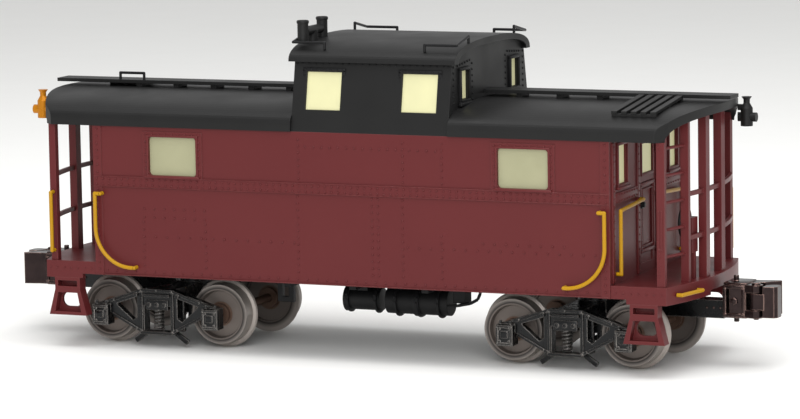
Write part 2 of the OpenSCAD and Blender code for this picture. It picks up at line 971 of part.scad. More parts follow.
// Grab irons on the end sill at the ladder and on the far corner post
module platform_grab_irons() {
    bar_z = sill_z + 1.2;
    out_y = half_w - 4.5;
    in_y = 15.6;
    stand = 1.6;
    post_x = corner_post_x - corner_post / 2;
    post_y = rail_corner_y + corner_post / 2;
    post_zs = [deck_z + 2.9, deck_z + 19.7];
    color(yellow)
        for (turn = [0, 180])
            rotate([0, 0, turn]) {
                wire_path([[sill_x(out_y - wire_d / 2), -out_y, bar_z],
                    [sill_x(out_y) + stand, -out_y, bar_z], [sill_x(in_y) + stand, -in_y, bar_z],
                    [sill_x(in_y - wire_d / 2), -in_y, bar_z]]);
                wire_path([[post_x, post_y, post_zs[0]], [post_x, post_y + stand, post_zs[0]],
                    [post_x, post_y + stand, post_zs[1]], [post_x, post_y, post_zs[1]]]);
            }
}

// Air reservoir under the floor with its joint band and its two hangers
module air_reservoir() {
    tank_x = 5;
    tank_d = 7.6;
    tank_l = 19;
    band = [8.5, 2, 8.6];
    hanger_t = 1.6;
    color(iron_black)
        translate([tank_x, gear_y, gear_z]) {
            rotate([0, 90, 0])
                cylinder(d = tank_d, h = tank_l);
            translate([band[0], 0, 0])
                rotate([0, 90, 0])
                    cylinder(d = band[2], h = band[1]);
            for (x = [3, 13])
                box([x, -hanger_half, hanger_half], [x + hanger_t, hanger_half, sill_z - gear_z]);
        }
}

// Brake cylinder beside the reservoir with its head and its hanger
module brake_cylinder() {
    cylinder_x = -8;
    cylinder_d = 6.4;
    cylinder_l = 11;
    head = [7.4, 1.6];
    hanger = [4, 7];
    color(iron_black)
        translate([cylinder_x, gear_y, gear_z]) {
            rotate([0, 90, 0])
                cylinder(d = cylinder_d, h = cylinder_l);
            rotate([0, 90, 0])
                cylinder(d = head[0], h = head[1]);
            box([hanger[0], -hanger_half, hanger_half], [hanger[1], hanger_half, sill_z - gear_z]);
        }
}

// Control valve and the pipe along the car with its clips
module brake_pipes() {
    valve_x = [25.4, 29];
    valve_half = 2.4;
    valve_h = 6;
    pipe_d = 1.2;
    pipe_x = [-30, 30];
    pipe_y = 8;
    pipe_z = sill_z - 2.8;
    clip = [1.4, 0.8];
    color(iron_black) {
        box([valve_x[0], gear_y - valve_half, sill_z - valve_h], [valve_x[1], gear_y + valve_half, sill_z]);
        translate([pipe_x[0], pipe_y, pipe_z])
            rotate([0, 90, 0])
                cylinder(d = pipe_d, h = pipe_x[1] - pipe_x[0], $fn = 24);
        for (x = [-28, 26])
            box([x, pipe_y - clip[1], pipe_z], [x + clip[0], pipe_y + clip[1], sill_z]);
    }
}

// Bracket of the brake lever: a plate with an open middle
module lever_bracket() {
    plate_x = [-29, -24];
    plate_y = [-14, -12.6];
    plate_h = 8;
    rim = 1.5;
    color(iron_black)
        difference() {
            box([plate_x[0], plate_y[0], sill_z - plate_h], [plate_x[1], plate_y[1], sill_z]);
            box([plate_x[0] + rim, plate_y[0] - 1, sill_z - plate_h + rim],
                [plate_x[1] - rim, plate_y[1] + 1, sill_z - rim]);
        }
}

// A truck's bolster with its centre plate and the tongue that carries the coupler
module truck_frame() {
    color(iron_black)
        translate([truck_x, 0, 0])
            difference() {
                union() {
                    box([-bolster_half, -frame_y, bolster_z0], [bolster_half, frame_y, bolster_z1]);
                    translate([0, 0, bolster_z1])
                        cylinder(r = 5, h = centre_z - bolster_z1);
                    box([bolster_half, -tongue_half, tongue_z0], [head_x - truck_x, tongue_half, tongue_z1]);
                }
                translate([0, 0, bolster_z0 - 1])
                    cylinder(d = king_d + 2 * run_clear, h = centre_z);
            }
}

// Outline of a side frame, drawn in X and Z from the truck's pivot
module side_frame_2d() {
    end_x = axle_x + box_w / 2;
    shoulder = [axle_x - 3.4, axle_z + 4.2];
    end_z = [axle_z + 2.2, axle_z - 1.7];
    arm = [axle_x - box_w / 2, axle_z];
    foot = [column_x + 1.5, frame_bottom + 1.1];
    eye = [[column_x + 2.2, frame_top - 2.4], [axle_x - 4.5, axle_z + 2.6], [axle_x - 4.8, axle_z + 2],
        [column_x + 3.6, axle_z - 2.1], [column_x + 2.2, axle_z - 1.2]];
    difference() {
        for (s = [-1, 1])
            polygon([[0, frame_top], [s * (column_x + 0.4), frame_top], [s * shoulder[0], shoulder[1]],
                [s * end_x, end_z[0]], [s * end_x, end_z[1]], [s * arm[0], end_z[1]], [s * arm[0], arm[1]],
                [s * foot[0], foot[1]], [s * column_x, frame_bottom], [0, frame_bottom]]);
        spring_opening();
        for (s = [-1, 1])
            polygon([for (p = eye) [s * p[0], p[1]]]);
    }
}

// Opening of a side frame for its spring
module spring_opening() {
    translate([-column_x, frame_bottom + plank_t])
        square([2 * column_x, bolster_z0 - frame_bottom - plank_t]);
}

// The two side frames of a truck with their journal boxes
module side_frames() {
    color(iron_black)
        translate([truck_x, 0, 0])
            both_sides()
                difference() {
                    union() {
                        along_y(frame_y, frame_y + frame_t)
                            side_frame_2d();
                        for (s = [-1, 1])
                            box([s * axle_x - box_w / 2, frame_y, axle_z - 3.6],
                                [s * axle_x + box_w / 2, box_y, axle_z + 2.4]);
                    }
                    for (s = [-1, 1])
                        translate([s * axle_x, frame_y - 1, axle_z])
                            rotate([-90, 0, 0])
                                cylinder(d = journal_d + 2 * run_clear, h = journal_depth - frame_y + 1,
                                    $fn = 32);
                }
}

// The springs between the side frames and the bolster
module truck_springs() {
    color(iron_black)
        translate([truck_x, 0, frame_bottom + plank_t])
            both_sides()
                translate([0, frame_y + frame_t / 2, 0])
                    cylinder(d = spring_d, h = bolster_z0 - frame_bottom - plank_t);
}

// Brake beams with the shoes beside the wheels
module brake_gear() {
    beam_x = axle_x - tread_r - shoe_gap - 1.3;
    shoe_x = beam_x + 2.7;
    shoe_z = [axle_z - 2.4, axle_z + 2.8];
    shoe_y = [back_gap / 2 + flange_t + shoe_gap, wheel_face_y - 1];
    color(iron_black)
        translate([truck_x, 0, 0])
            both_ends() {
                box([bolster_half - 1, -shoe_y[1], axle_z], [beam_x, shoe_y[1], bolster_z0]);
                both_sides()
                    difference() {
                        box([beam_x, shoe_y[0], shoe_z[0]], [shoe_x, shoe_y[1], shoe_z[1]]);
                        translate([axle_x, 0, axle_z])
                            rotate([-90, 0, 0])
                                cylinder(r = tread_r + shoe_gap, h = far, $fn = 96);
                    }
            }
}

// A coupler head with its guard arm, lugs and knuckle pin
module coupler_head() {
    half = head_w / 2;
    z1 = head_z0 + head_h;
    color(bronze)
        translate([head_x, 0, 0]) {
            translate([0, 0, head_z0])
                linear_extrude(head_h)
                    polygon([[0, -tongue_half], [0, tongue_half], [2.4, half], [pin_x - 1, half],
                        [head_l - 2.4, half + 1], [head_l - 1.8, half], [pin_x + 1, 1.4],
                        [pin_x - hub_r - 0.4, -0.6], [pin_x - hub_r - 0.4, -half], [2.4, -half]]);
            for (z = [head_z0, z1 - lug_t])
                translate([0, 0, z])
                    linear_extrude(lug_t) {
                        translate([pin_x, pin_y])
                            circle(hub_r - 0.2);
                        polygon([[pin_x - hub_r - 0.5, -half], [pin_x, pin_y - hub_r + 0.2],
                            [pin_x, pin_y + hub_r - 0.2], [pin_x - hub_r - 0.5, -0.7]]);
                    }
            translate([pin_x, pin_y, head_z0 + 0.1])
                cylinder(d = knuckle_pin_d, h = head_h - 0.2, $fn = 32);
        }
}

// The knuckle that turns on the coupler's pin
module knuckle() {
    z0 = head_z0 + lug_t + face_gap;
    hub_h = head_h - 2 * lug_t - 2 * face_gap;
    nose_x = pin_x + hub_r + 0.3;
    color(bronze)
        translate([head_x, 0, 0])
            difference() {
                union() {
                    translate([pin_x, pin_y, z0])
                        cylinder(r = hub_r - 0.2, h = hub_h);
                    box([pin_x, pin_y - hub_r + 0.2, z0], [nose_x + 0.4, pin_y + hub_r - 0.4, z0 + hub_h]);
                    translate([0, 0, head_z0 + 0.3])
                        linear_extrude(head_h - 0.6)
                            polygon([[nose_x, pin_y - 1.8], [head_l - 0.8, pin_y - 1.6],
                                [head_l, pin_y - 0.6], [head_l, pin_y + 2.6], [head_l - 1, pin_y + 3.6],
                                [nose_x + 1, pin_y + 3.2], [nose_x, pin_y + 1.8]]);
                }
                translate([pin_x, pin_y, 0])
                    cylinder(d = knuckle_pin_d + 2 * run_clear, h = far, $fn = 32);
            }
}

// A wheelset: one axle with its two wheels
module wheelset(x) {
    disc_t = 2.6;
    hub_d = 6;
    rim_t = 1.8;
    back = back_gap / 2;
    half_profile = [[axle_d / 2, back - 0.4], [hub_d / 2, back - 0.4],
        [hub_d / 2, back + 0.8], [tread_r - rim_t, back + 0.8], [tread_r - rim_t, back],
        [flange_r - 0.2, back], [flange_r, back + 0.4], [flange_r - 0.3, back + flange_t - 0.3],
        [tread_r + 0.1, back + flange_t], [tread_r - 0.15, back + wheel_w],
        [tread_r - rim_t, back + wheel_w], [tread_r - rim_t - 0.4, back + 0.8 + disc_t],
        [hub_d / 2, back + 1.2 + disc_t], [hub_d / 2, back + wheel_w + 0.3],
        [axle_d / 2, back + wheel_w + 0.3], [axle_d / 2, wheel_face_y + 1],
        [journal_d / 2, wheel_face_y + 1], [journal_d / 2, journal_depth - 0.4],
        [0, journal_depth - 0.4]];
    color(wheel_steel)
        translate([x, 0, axle_z])
            rotate([90, 0, 0])
                rotate_extrude($fn = 96)
                    polygon(concat(half_profile, [for (i = [len(half_profile) - 1:-1:0])
                        [half_profile[i][0], -half_profile[i][1]]]));
}

underframe();
platform();  // platform_a
end_b() platform();  // platform_b
steps();  // steps_a
end_b() steps();  // steps_b
side_wall();  // side_wall_right
end_b() side_wall();  // side_wall_left
end_wall();  // end_wall_a
end_b() end_wall();  // end_wall_b
door();  // door_a
end_b() door();  // door_b
roof();
cupola();
cupola_roof();
running_boards();
side_windows();
end_windows();
door_windows();
cupola_windows();
roof_grab_irons();
smoke_jack();
color(iron_black) marker_lamp();  // marker_lamp_a
end_b() color(gold) marker_lamp();  // marker_lamp_b
end_railing();  // end_railing_a
end_b() end_railing();  // end_railing_b
ladder();  // ladder_a
end_b() ladder();  // ladder_b
brake_stand();  // brake_stand_a
end_b() brake_stand();  // brake_stand_b
brake_wheel();  // brake_wheel_a
end_b() brake_wheel();  // brake_wheel_b
side_grab_irons();
end_handrails();
platform_grab_irons();
air_reservoir();
brake_cylinder();
brake_pipes();
lever_bracket();
truck_frame();  // truck_frame_a
end_b() truck_frame();  // truck_frame_b
side_frames();  // side_frames_a
end_b() side_frames();  // side_frames_b
truck_springs();  // truck_springs_a
end_b() truck_springs();  // truck_springs_b
brake_gear();  // brake_gear_a
end_b() brake_gear();  // brake_gear_b
coupler_head();  // coupler_head_a
end_b() coupler_head();  // coupler_head_b
knuckle();  // knuckle_a
end_b() knuckle();  // knuckle_b
wheelset(truck_x + axle_x);  // wheelset_a_outer
wheelset(truck_x - axle_x);  // wheelset_a_inner
wheelset(-truck_x + axle_x);  // wheelset_b_inner
wheelset(-truck_x - axle_x);  // wheelset_b_outer
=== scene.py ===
"""Looks of a 1:48 model railway caboose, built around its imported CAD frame.

Each sub-assembly is a class with its sizes as dataclass fields and methods that model and dress it.
All lengths in the dataclasses are millimetres unless a name says otherwise.
"""

import json
import logging
import math
from dataclasses import dataclass
from enum import Enum

import bpy
from mathutils import Matrix, Vector


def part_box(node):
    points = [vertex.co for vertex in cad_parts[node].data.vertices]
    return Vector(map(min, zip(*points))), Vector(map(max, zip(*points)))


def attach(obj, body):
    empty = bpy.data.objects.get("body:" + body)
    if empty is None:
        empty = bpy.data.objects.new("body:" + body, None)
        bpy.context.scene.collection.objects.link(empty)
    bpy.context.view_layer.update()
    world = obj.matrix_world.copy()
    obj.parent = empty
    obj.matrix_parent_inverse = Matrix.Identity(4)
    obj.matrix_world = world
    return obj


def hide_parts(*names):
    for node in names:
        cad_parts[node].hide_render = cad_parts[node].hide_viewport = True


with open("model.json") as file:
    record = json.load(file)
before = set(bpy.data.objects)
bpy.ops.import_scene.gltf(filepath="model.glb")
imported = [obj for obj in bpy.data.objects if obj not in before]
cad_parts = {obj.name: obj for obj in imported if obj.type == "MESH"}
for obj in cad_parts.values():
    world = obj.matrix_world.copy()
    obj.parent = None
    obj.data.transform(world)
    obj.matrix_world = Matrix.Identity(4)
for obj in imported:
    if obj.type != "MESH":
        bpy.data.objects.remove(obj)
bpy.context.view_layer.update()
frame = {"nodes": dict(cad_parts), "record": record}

MM = 0.001
RIVET_R = 0.36
RIVET_RISE = 0.8
EDGE_SHARE = 0.45
END_SHARE = 0.3
BAR_SHARE = 0.4
HEX = 6
NOISE_LOW, NOISE_HIGH = 0.3, 0.7
METAL_LIMIT = 0.5
SMOOTH_ANGLE = 40.0
LOG = logging.getLogger("caboose")
Point = tuple[float, float, float]


class Slot(Enum):
    """Material slots of the record."""

    MAROON = "maroon_plastic"
    BLACK = "black_plastic"
    FRAME = "black_frame"
    PANE = "lit_pane"
    BLACK_WIRE = "black_wire"
    YELLOW = "yellow_wire"
    GOLD = "gold_lamp"
    CASTING = "black_casting"
    COUPLER = "blackened_coupler"
    WHEEL = "wheel_steel"


def linear(hex_code: str) -> tuple[float, float, float, float]:
    """Turn an sRGB colour into the linear values that shaders use.

    Args:
        hex_code: Six hex digits, with or without a leading hash.

    Returns:
        Linear red, green and blue, with alpha 1.
    """
    digits = hex_code.lstrip("#")
    parts = [int(digits[i : i + 2], 16) / 255 for i in (0, 2, 4)]
    done = [c / 12.92 if c <= 0.04045 else ((c + 0.055) / 1.055) ** 2.4 for c in parts]
    return (done[0], done[1], done[2], 1.0)


def add_node(tree: bpy.types.NodeTree, kind: str, links: dict[str | int, bpy.types.NodeSocket] | None = None,
             inputs: dict[str | int, object] | None = None, **settings: object) -> bpy.types.Node:
    """Add a node with its settings, input values and links.

    Args:
        tree: The node tree to add to.
        kind: The node's type name.
        links: Output sockets to plug into the named inputs.
        inputs: Values for the named inputs.
        **settings: Attributes of the node itself.

    Returns:
        The new node.
    """
    node = tree.nodes.new(kind)
    for key, value in settings.items():
        setattr(node, key, value)
    for key, value in (inputs or {}).items():
        node.inputs[key].default_value = value
    for key, source in (links or {}).items():
        tree.links.new(source, node.inputs[key])
    return node


@dataclass(frozen=True)
class Finish:
    """A surface finish: its colours, gloss, grain and painted edge highlights.

    The base colour drifts softly to a second tone, the roughness varies a little, and a fine bump
    gives the grain. Edges are read as rounded by a small radius, and may take a third colour there as a
    painted highlight.
    Sizes of the drift, the grain and the edges are real sizes in millimetres.
    """

    name: str
    base: str
    tone: str
    roughness: float
    metallic: float = 0.0
    ior: float = 1.45
    spread: float = 0.06
    drift_mm: float = 30.0
    grain_mm: float = 0.35
    grain_depth_mm: float = 0.01
    emission: float = 0.0
    specular: float = 0.25
    edge_mm: float = 0.2
    edge_highlight: str = ""
    highlight_start: float = 0.995
    highlight_full: float = 0.85
    highlight_most: float = 0.85
    bump_strength: float = 0.5

    def shade(self, tree: bpy.types.NodeTree, place: bpy.types.NodeSocket) -> bpy.types.NodeSocket:
        """Mix the base colour and its second tone over the piece.

        Args:
            tree: The material's node tree.
            place: Object coordinates.

        Returns:
            The colour socket.
        """
        drift = add_node(tree, "ShaderNodeTexNoise", {"Vector": place},
                         {"Scale": 1 / (self.drift_mm * MM), "Detail": 3.0})
        mix = add_node(tree, "ShaderNodeMix", {"Factor": drift.outputs["Fac"]}, data_type="RGBA")
        mix.inputs["A"].default_value = linear(self.base)
        mix.inputs["B"].default_value = linear(self.tone)
        return mix.outputs["Result"]

    def paint_edge_highlight(self, tree: bpy.types.NodeTree, colour: bpy.types.NodeSocket,
            rounded: bpy.types.NodeSocket) -> bpy.types.NodeSocket:
        """Paint a highlight in the third colour along the edges.

        Args:
            tree: The material's node tree.
            colour: The colour of the surface away from the edges.
            rounded: The rounded normal.

        Returns:
            The colour socket with the painted edge highlight.
        """
        flat = add_node(tree, "ShaderNodeNewGeometry").outputs["Normal"]
        turn = add_node(tree, "ShaderNodeVectorMath", {0: rounded, 1: flat}, operation="DOT_PRODUCT")
        # painted highlight: the further the rounded normal turns from the flat one, the more of the third
        # colour
        highlight_mask = add_node(tree, "ShaderNodeMapRange", {"Value": turn.outputs["Value"]},
                        {"From Min": self.highlight_start, "From Max": self.highlight_full, "To Min": 0.0,
                         "To Max": self.highlight_most})
        mix = add_node(tree, "ShaderNodeMix", {"Factor": highlight_mask.outputs["Result"]}, data_type="RGBA")
        tree.links.new(colour, mix.inputs["A"])
        mix.inputs["B"].default_value = linear(self.edge_highlight)
        return mix.outputs["Result"]

    def build(self) -> bpy.types.Material:
        """Make the material.

        Returns:
            The finished material.
        """
        material = bpy.data.materials.new(self.name)
        material.use_nodes = True
        tree = material.node_tree
        shader = tree.nodes["Principled BSDF"]
        shader.inputs["Metallic"].default_value = self.metallic
        if self.metallic < METAL_LIMIT:
            shader.inputs["IOR"].default_value = self.ior
            shader.inputs["Specular IOR Level"].default_value = self.specular
        place = add_node(tree, "ShaderNodeTexCoord").outputs["Object"]
        rounded = add_node(tree, "ShaderNodeBevel", samples=4)
        rounded.inputs["Radius"].default_value = self.edge_mm * MM
        colour = self.shade(tree, place)
        # painted highlight on the edges, in the third colour
        if self.edge_highlight:
            colour = self.paint_edge_highlight(tree, colour, rounded.outputs["Normal"])
        tree.links.new(colour, shader.inputs["Base Color"])
        gloss = add_node(tree, "ShaderNodeTexNoise", {"Vector": place}, {"Scale": 2 / (self.drift_mm * MM)})
        spread = add_node(tree, "ShaderNodeMapRange", {"Value": gloss.outputs["Fac"]},
                          {"From Min": NOISE_LOW, "From Max": NOISE_HIGH,
                           "To Min": self.roughness - self.spread, "To Max": self.roughness + self.spread})
        tree.links.new(spread.outputs["Result"], shader.inputs["Roughness"])
        grain = add_node(tree, "ShaderNodeTexNoise", {"Vector": place},
                         {"Scale": 1 / (self.grain_mm * MM), "Detail": 2.0})
        bump = add_node(tree, "ShaderNodeBump",
                        {"Height": grain.outputs["Fac"], "Normal": rounded.outputs["Normal"]},
                        {"Strength": self.bump_strength, "Distance": self.grain_depth_mm * MM})
        tree.links.new(bump.outputs["Normal"], shader.inputs["Normal"])
        # painted glow: the surface shines in its second tone, with no lamp behind it
        if self.emission:
            shader.inputs["Emission Color"].default_value = linear(self.tone)
            shader.inputs["Emission Strength"].default_value = self.emission
        return material


@dataclass(frozen=True)
class WheelFinish(Finish):
    """Steel in rings about one axle: bright rim with a painted highlight, painted shade in the groove, grey
    web and brown hub.

    The rings are centred on the axle, and keep their place when it spins.
    """

    axle_x: float = 0.0
    axle_z: float = 10.03
    hub_r: float = 3.4
    web_r: float = 7.2
    rim_r: float = 10.0
    blend_r: float = 0.3
    tread_r: float = 9.0
    hub: str = "#5e4a3f"
    web: str = "#6b635e"

    def shade(self, tree: bpy.types.NodeTree, place: bpy.types.NodeSocket) -> bpy.types.NodeSocket:
        """Colour the wheel by its distance from the axle.

        Args:
            tree: The material's node tree.
            place: Object coordinates.

        Returns:
            The colour socket.
        """
        centred = add_node(tree, "ShaderNodeMapping", {"Vector": place},
                           {"Location": (-self.axle_x * MM, 0.0, -self.axle_z * MM)})
        centred.inputs["Scale"].default_value = (1.0, 0.0, 1.0)
        reach = add_node(tree, "ShaderNodeVectorMath", {0: centred.outputs["Vector"]}, operation="LENGTH")
        ring = add_node(tree, "ShaderNodeMapRange", {"Value": reach.outputs["Value"]},
                        {"From Min": 0.0, "From Max": self.rim_r * MM, "To Min": 0.0, "To Max": 1.0})
        ramp = add_node(tree, "ShaderNodeValToRGB", {"Fac": ring.outputs["Result"]})
        stops = ramp.color_ramp.elements
        stops[0].position, stops[0].color = self.hub_r / self.rim_r, linear(self.hub)
        stops[1].position, stops[1].color = (self.hub_r + self.blend_r) / self.rim_r, linear(self.web)
        # painted shade in the groove (tone) and painted highlight on the rim (base)
        for radius, code in ((self.web_r, self.web), (self.web_r + self.blend_r, self.tone),
                             (self.tread_r, self.base)):
            stops.new(radius / self.rim_r).color = linear(code)
        return ramp.outputs["Color"]


# Each comment says what the finish gives the eye.
FINISHES: dict[Slot, Finish] = {
    # warm brown red with a soft sheen, and a painted highlight on the moulded edges
    Slot.MAROON: Finish("maroon_satin_painted_abs", "#5b2122", "#551d1f", 0.4, edge_highlight="#74403f"),
    # dull grey black that catches a little light along the roof's curve, with a painted highlight on its
    # edges
    Slot.BLACK: Finish("black_matt_painted_abs", "#161616", "#1a1a1a", 0.46, edge_highlight="#262627"),
    # deeper, flatter black: painted shade of the unlit underside, with a painted highlight on its edges
    Slot.FRAME: Finish("black_matt_moulded_abs_painted_shade", "#0c0c0d", "#121213", 0.5, edge_highlight="#1c1c1d"),
    # warm cream painted glow, a little uneven, with no lamp behind the frosted plastic
    Slot.PANE: Finish("cream_translucent_styrene", "#87866a", "#9a987b", 0.35, emission=0.17, drift_mm=9.0),
    # thin glossy black line
    Slot.BLACK_WIRE: Finish("black_enamelled_wire", "#121213", "#161617", 0.35),
    # bright yellow with a small hard highlight
    Slot.YELLOW: Finish("yellow_enamelled_wire", "#b0830f", "#a3780b", 0.32),
    # warm metallic gold
    Slot.GOLD: Finish("gold_painted_zinc", "#c07c14", "#a9690c", 0.32, metallic=0.3),
    # blue black metal, with a painted grey highlight on its raised edges
    Slot.CASTING: Finish("blackened_zinc_casting", "#101113", "#0a0b0c", 0.28, metallic=0.5, edge_highlight="#9a9590",
                         drift_mm=6.0, edge_mm=0.35),
    # bronze black, with a painted bright brown highlight on its edges
    Slot.COUPLER: Finish("bronze_black_plated_zinc", "#3a2d2c", "#1a1516", 0.2, metallic=0.85,
                         edge_highlight="#a5887f",
                         drift_mm=5.0, edge_mm=0.4),
    # grey turned rims
    Slot.WHEEL: Finish("dull_turned_steel", "#6f6863", "#5c534c", 0.45, metallic=0.7),
}
# the same panes with a stronger painted glow
BRIGHT_PANE = Finish("cream_bright_styrene", "#a9a785", "#bfbc93", 0.35, emission=0.45, drift_mm=9.0)


def dress_frame() -> dict[Slot, bpy.types.Material]:
    """Give every CAD node the finish of its slot.

    Returns:
        The materials, by slot.
    """
    made = {slot: finish.build() for slot, finish in FINISHES.items()}
    bright = BRIGHT_PANE.build()
    for part in frame["record"]["subparts"]:
        name = part["node"]
        material = made[Slot(part["material_slot"])]
        # painted shade: the brake wheels take the black finish in place of their slot's own, for the shade
        # they stand in
        if name.startswith("brake_wheel"):
            material = made[Slot.BLACK]
        # painted glow: these panes take the stronger glow, to brighten them where they stand in shade
        if name in ("cupola_windows", "end_windows", "door_windows"):
            material = bright
        if name.startswith("wheelset"):
            low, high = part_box(name)
            # painted highlight on the rim in #a09892, painted shade in the groove in #2e2b2a
            material = WheelFinish("steel_painted_rings_" + name.removeprefix("wheelset_"), "#a09892", "#2e2b2a",
                                   0.4,
                                   metallic=0.45, axle_x=(low[0] + high[0]) / 2 / MM).build()
        node = frame["nodes"][name]
        node.data.materials.clear()
        node.data.materials.append(material)
    return made


class Bench:
    """The tools that shape new pieces and hand them to the frame."""

    def __init__(self, materials: dict[Slot, bpy.types.Material]) -> None:
        """Keep the materials and turn one rivet head to copy from.

        Args:
            materials: Materials by slot.
        """
        self.materials = materials
        self.head = self.rivet_head()

    @staticmethod
    def rivet_head() -> bpy.types.Mesh:
        """Shape one rivet head, a closed dome of unit radius pointing up.

        Returns:
            Its mesh.
        """
        bpy.ops.object.select_all(action="DESELECT")
        bpy.ops.mesh.primitive_uv_sphere_add(segments=8, ring_count=6, radius=1)
        dome = bpy.context.object
        bpy.ops.object.mode_set(mode="EDIT")
        bpy.ops.mesh.select_all(action="SELECT")
        bpy.ops.mesh.bisect(plane_co=(0, 0, 0), plane_no=(0, 0, 1), use_fill=True, clear_inner=True)
        bpy.ops.object.mode_set(mode="OBJECT")
        mesh = dome.data.copy()
        bpy.data.objects.remove(dome)
        return mesh

    def row(self, start: Point, end: Point, pitch: float, out: Point,
            radius: float = RIVET_R) -> bpy.types.Object:
        """Set a row of rivets between two points.

        Args:
            start: Middle of the first head, on the surface.
            end: Where the row ends.
            pitch: Wanted spacing; it is evened out over the row.
            out: The direction the heads stand out in.
            radius: Radius of a head.

        Returns:
            The row, one object.
        """
        a, b = Vector(start), Vector(end)
        count = max(round((b - a).length / pitch) + 1, 2)
        row = bpy.data.objects.new("row", self.head.copy())
        bpy.context.collection.objects.link(row)
        turn = Vector(out).to_track_quat("Z", "Y").to_matrix()
        row.data.transform(turn.to_4x4() @ Matrix.Diagonal((radius, radius, radius * RIVET_RISE, 1)))
        row.data.transform(Matrix.Scale(MM, 4) @ Matrix.Translation(a))
        line = row.modifiers.new("line", "ARRAY")
        line.count = count
        line.use_relative_offset, line.use_constant_offset = False, True
        line.constant_offset_displace = (b - a) * MM / (count - 1)
        self.apply(row)
        return row

    @staticmethod
    def apply(piece: bpy.types.Object) -> None:
        """Apply every modifier of a piece."""
        bpy.ops.object.select_all(action="DESELECT")
        piece.select_set(True)
        bpy.context.view_layer.objects.active = piece
        for step in list(piece.modifiers):
            bpy.ops.object.modifier_apply(modifier=step.name)

    def block(self, corner: Point, opposite: Point, edge: float = 0.2) -> bpy.types.Object:
        """Make a block with rounded edges.

        Args:
            corner: One corner.
            opposite: The corner across from it.
            edge: Radius of the edges.

        Returns:
            The block.
        """
        a, b = (Vector(pick(pair) for pair in zip(corner, opposite)) for pick in (min, max))
        bpy.ops.object.select_all(action="DESELECT")
        bpy.ops.mesh.primitive_cube_add(size=1, location=(a + b) / 2 * MM)
        piece = bpy.context.object
        piece.scale = (b - a) * MM
        bpy.ops.object.transform_apply()
        soft = piece.modifiers.new("edges", "BEVEL")
        soft.width, soft.segments, soft.limit_method = min(edge, min(b - a) * EDGE_SHARE) * MM, 2, "NONE"
        self.apply(piece)
        return piece

    def rim(self, middle: Point, size: Point, width: float, edge: float = 0.15) -> bpy.types.Object:
        """Make a picture-frame rim round an opening from four rounded bars.

        Args:
            middle: Middle of the rim.
            size: Outer size; the thin side is the depth.
            width: Width of the rim's bars.
            edge: Radius of its edges.

        Returns:
            The rim.
        """
        c, s = Vector(middle), Vector(size) / 2
        thin = min(range(3), key=lambda i: s[i])
        bars = []
        wide, tall = [i for i in range(3) if i != thin]
        for axis, across in ((wide, tall), (tall, wide)):
            for side in (-1, 1):
                low, high = c - s, c + s
                if side > 0:
                    low[across] = high[across] - width
                else:
                    high[across] = low[across] + width
                if axis == tall:
                    low[tall] += width * 0.5
                    high[tall] -= width * 0.5
                bars.append(self.block(tuple(low), tuple(high), edge))
        return self.join(bars)

    def rod(self, start: Point, end: Point, diameter: float, sides: int = 20,
            edge: float = 0.15) -> bpy.types.Object:
        """Make a round bar with rounded ends.

        Args:
            start: Middle of one end.
            end: Middle of the other end.
            diameter: Its diameter.
            sides: Facets round it.
            edge: Radius of its end edges.

        Returns:
            The bar.
        """
        a, b = Vector(start), Vector(end)
        bpy.ops.object.select_all(action="DESELECT")
        bpy.ops.mesh.primitive_cylinder_add(vertices=sides, radius=diameter / 2 * MM,
                                            depth=(b - a).length * MM,
                                            location=(a + b) / 2 * MM,
                                            rotation=(b - a).to_track_quat("Z", "Y").to_euler())
        piece = bpy.context.object
        bpy.ops.object.transform_apply()
        soft = piece.modifiers.new("ends", "BEVEL")
        soft.width, soft.segments, soft.limit_method = min(edge, diameter * END_SHARE) * MM, 2, "ANGLE"
        self.apply(piece)
        return piece

    def bar(self, start: Point, end: Point, height: float, depth: float,
            edge: float = 0.25) -> bpy.types.Object:
        """Make a flat bar in an upright plane along the car, from point to point.

        Args:
            start: Middle of one end.
            end: Middle of the other end.
            height: Its height across the run.
            depth: Its thickness in Y.
            edge: Radius of its edges.

        Returns:
            The bar.
        """
        a, b = Vector(start), Vector(end)
        bpy.ops.object.select_all(action="DESELECT")
        bpy.ops.mesh.primitive_cube_add(size=1, location=(a + b) / 2 * MM,
                                        rotation=(0, -math.atan2(b.z - a.z, b.x - a.x), 0))
        piece = bpy.context.object
        piece.scale = ((b - a).length * MM, depth * MM, height * MM)
        bpy.ops.object.transform_apply()
        soft = piece.modifiers.new("edges", "BEVEL")
        soft.width, soft.segments, soft.limit_method = min(edge, depth * BAR_SHARE) * MM, 2, "NONE"
        self.apply(piece)
        return piece

    @staticmethod
    def join(pieces: list[bpy.types.Object]) -> bpy.types.Object:
        """Join objects into the first one."""
        bpy.ops.object.select_all(action="DESELECT")
        for piece in pieces:
            piece.select_set(True)
        bpy.context.view_layer.objects.active = pieces[0]
        if len(pieces) > 1:
            bpy.ops.object.join()
        return pieces[0]

    def hand_over(self, name: str, pieces: list[bpy.types.Object], body: str, slot: Slot) -> bpy.types.Object:
        """Join, smooth, dress and mount a finished piece.

        Args:
            name: Name of the piece.
            pieces: What it is joined from.
            body: CAD body that it rides on.
            slot: Its material slot.

        Returns:
            The piece.
        """
        piece = self.join(pieces)
        piece.name = piece.data.name = name
        bpy.ops.object.mode_set(mode="EDIT")
        bpy.ops.mesh.select_all(action="SELECT")
        bpy.ops.mesh.normals_make_consistent(inside=False)
        bpy.ops.object.mode_set(mode="OBJECT")
        bpy.ops.object.shade_smooth_by_angle(angle=math.radians(SMOOTH_ANGLE))
        bpy.ops.object.transform_apply()
        piece.data.materials.clear()
        piece.data.materials.append(self.materials[slot])
        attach(piece, body)
        LOG.info("%s: %d faces", name, len(piece.data.polygons))
        return piece


@dataclass(frozen=True)
class Row:
    """A straight rivet row on a wall: both ends as (along, up), and the pitch."""

    start: tuple[float, float]
    end: tuple[float, float]
    pitch: float
    raised: bool = False


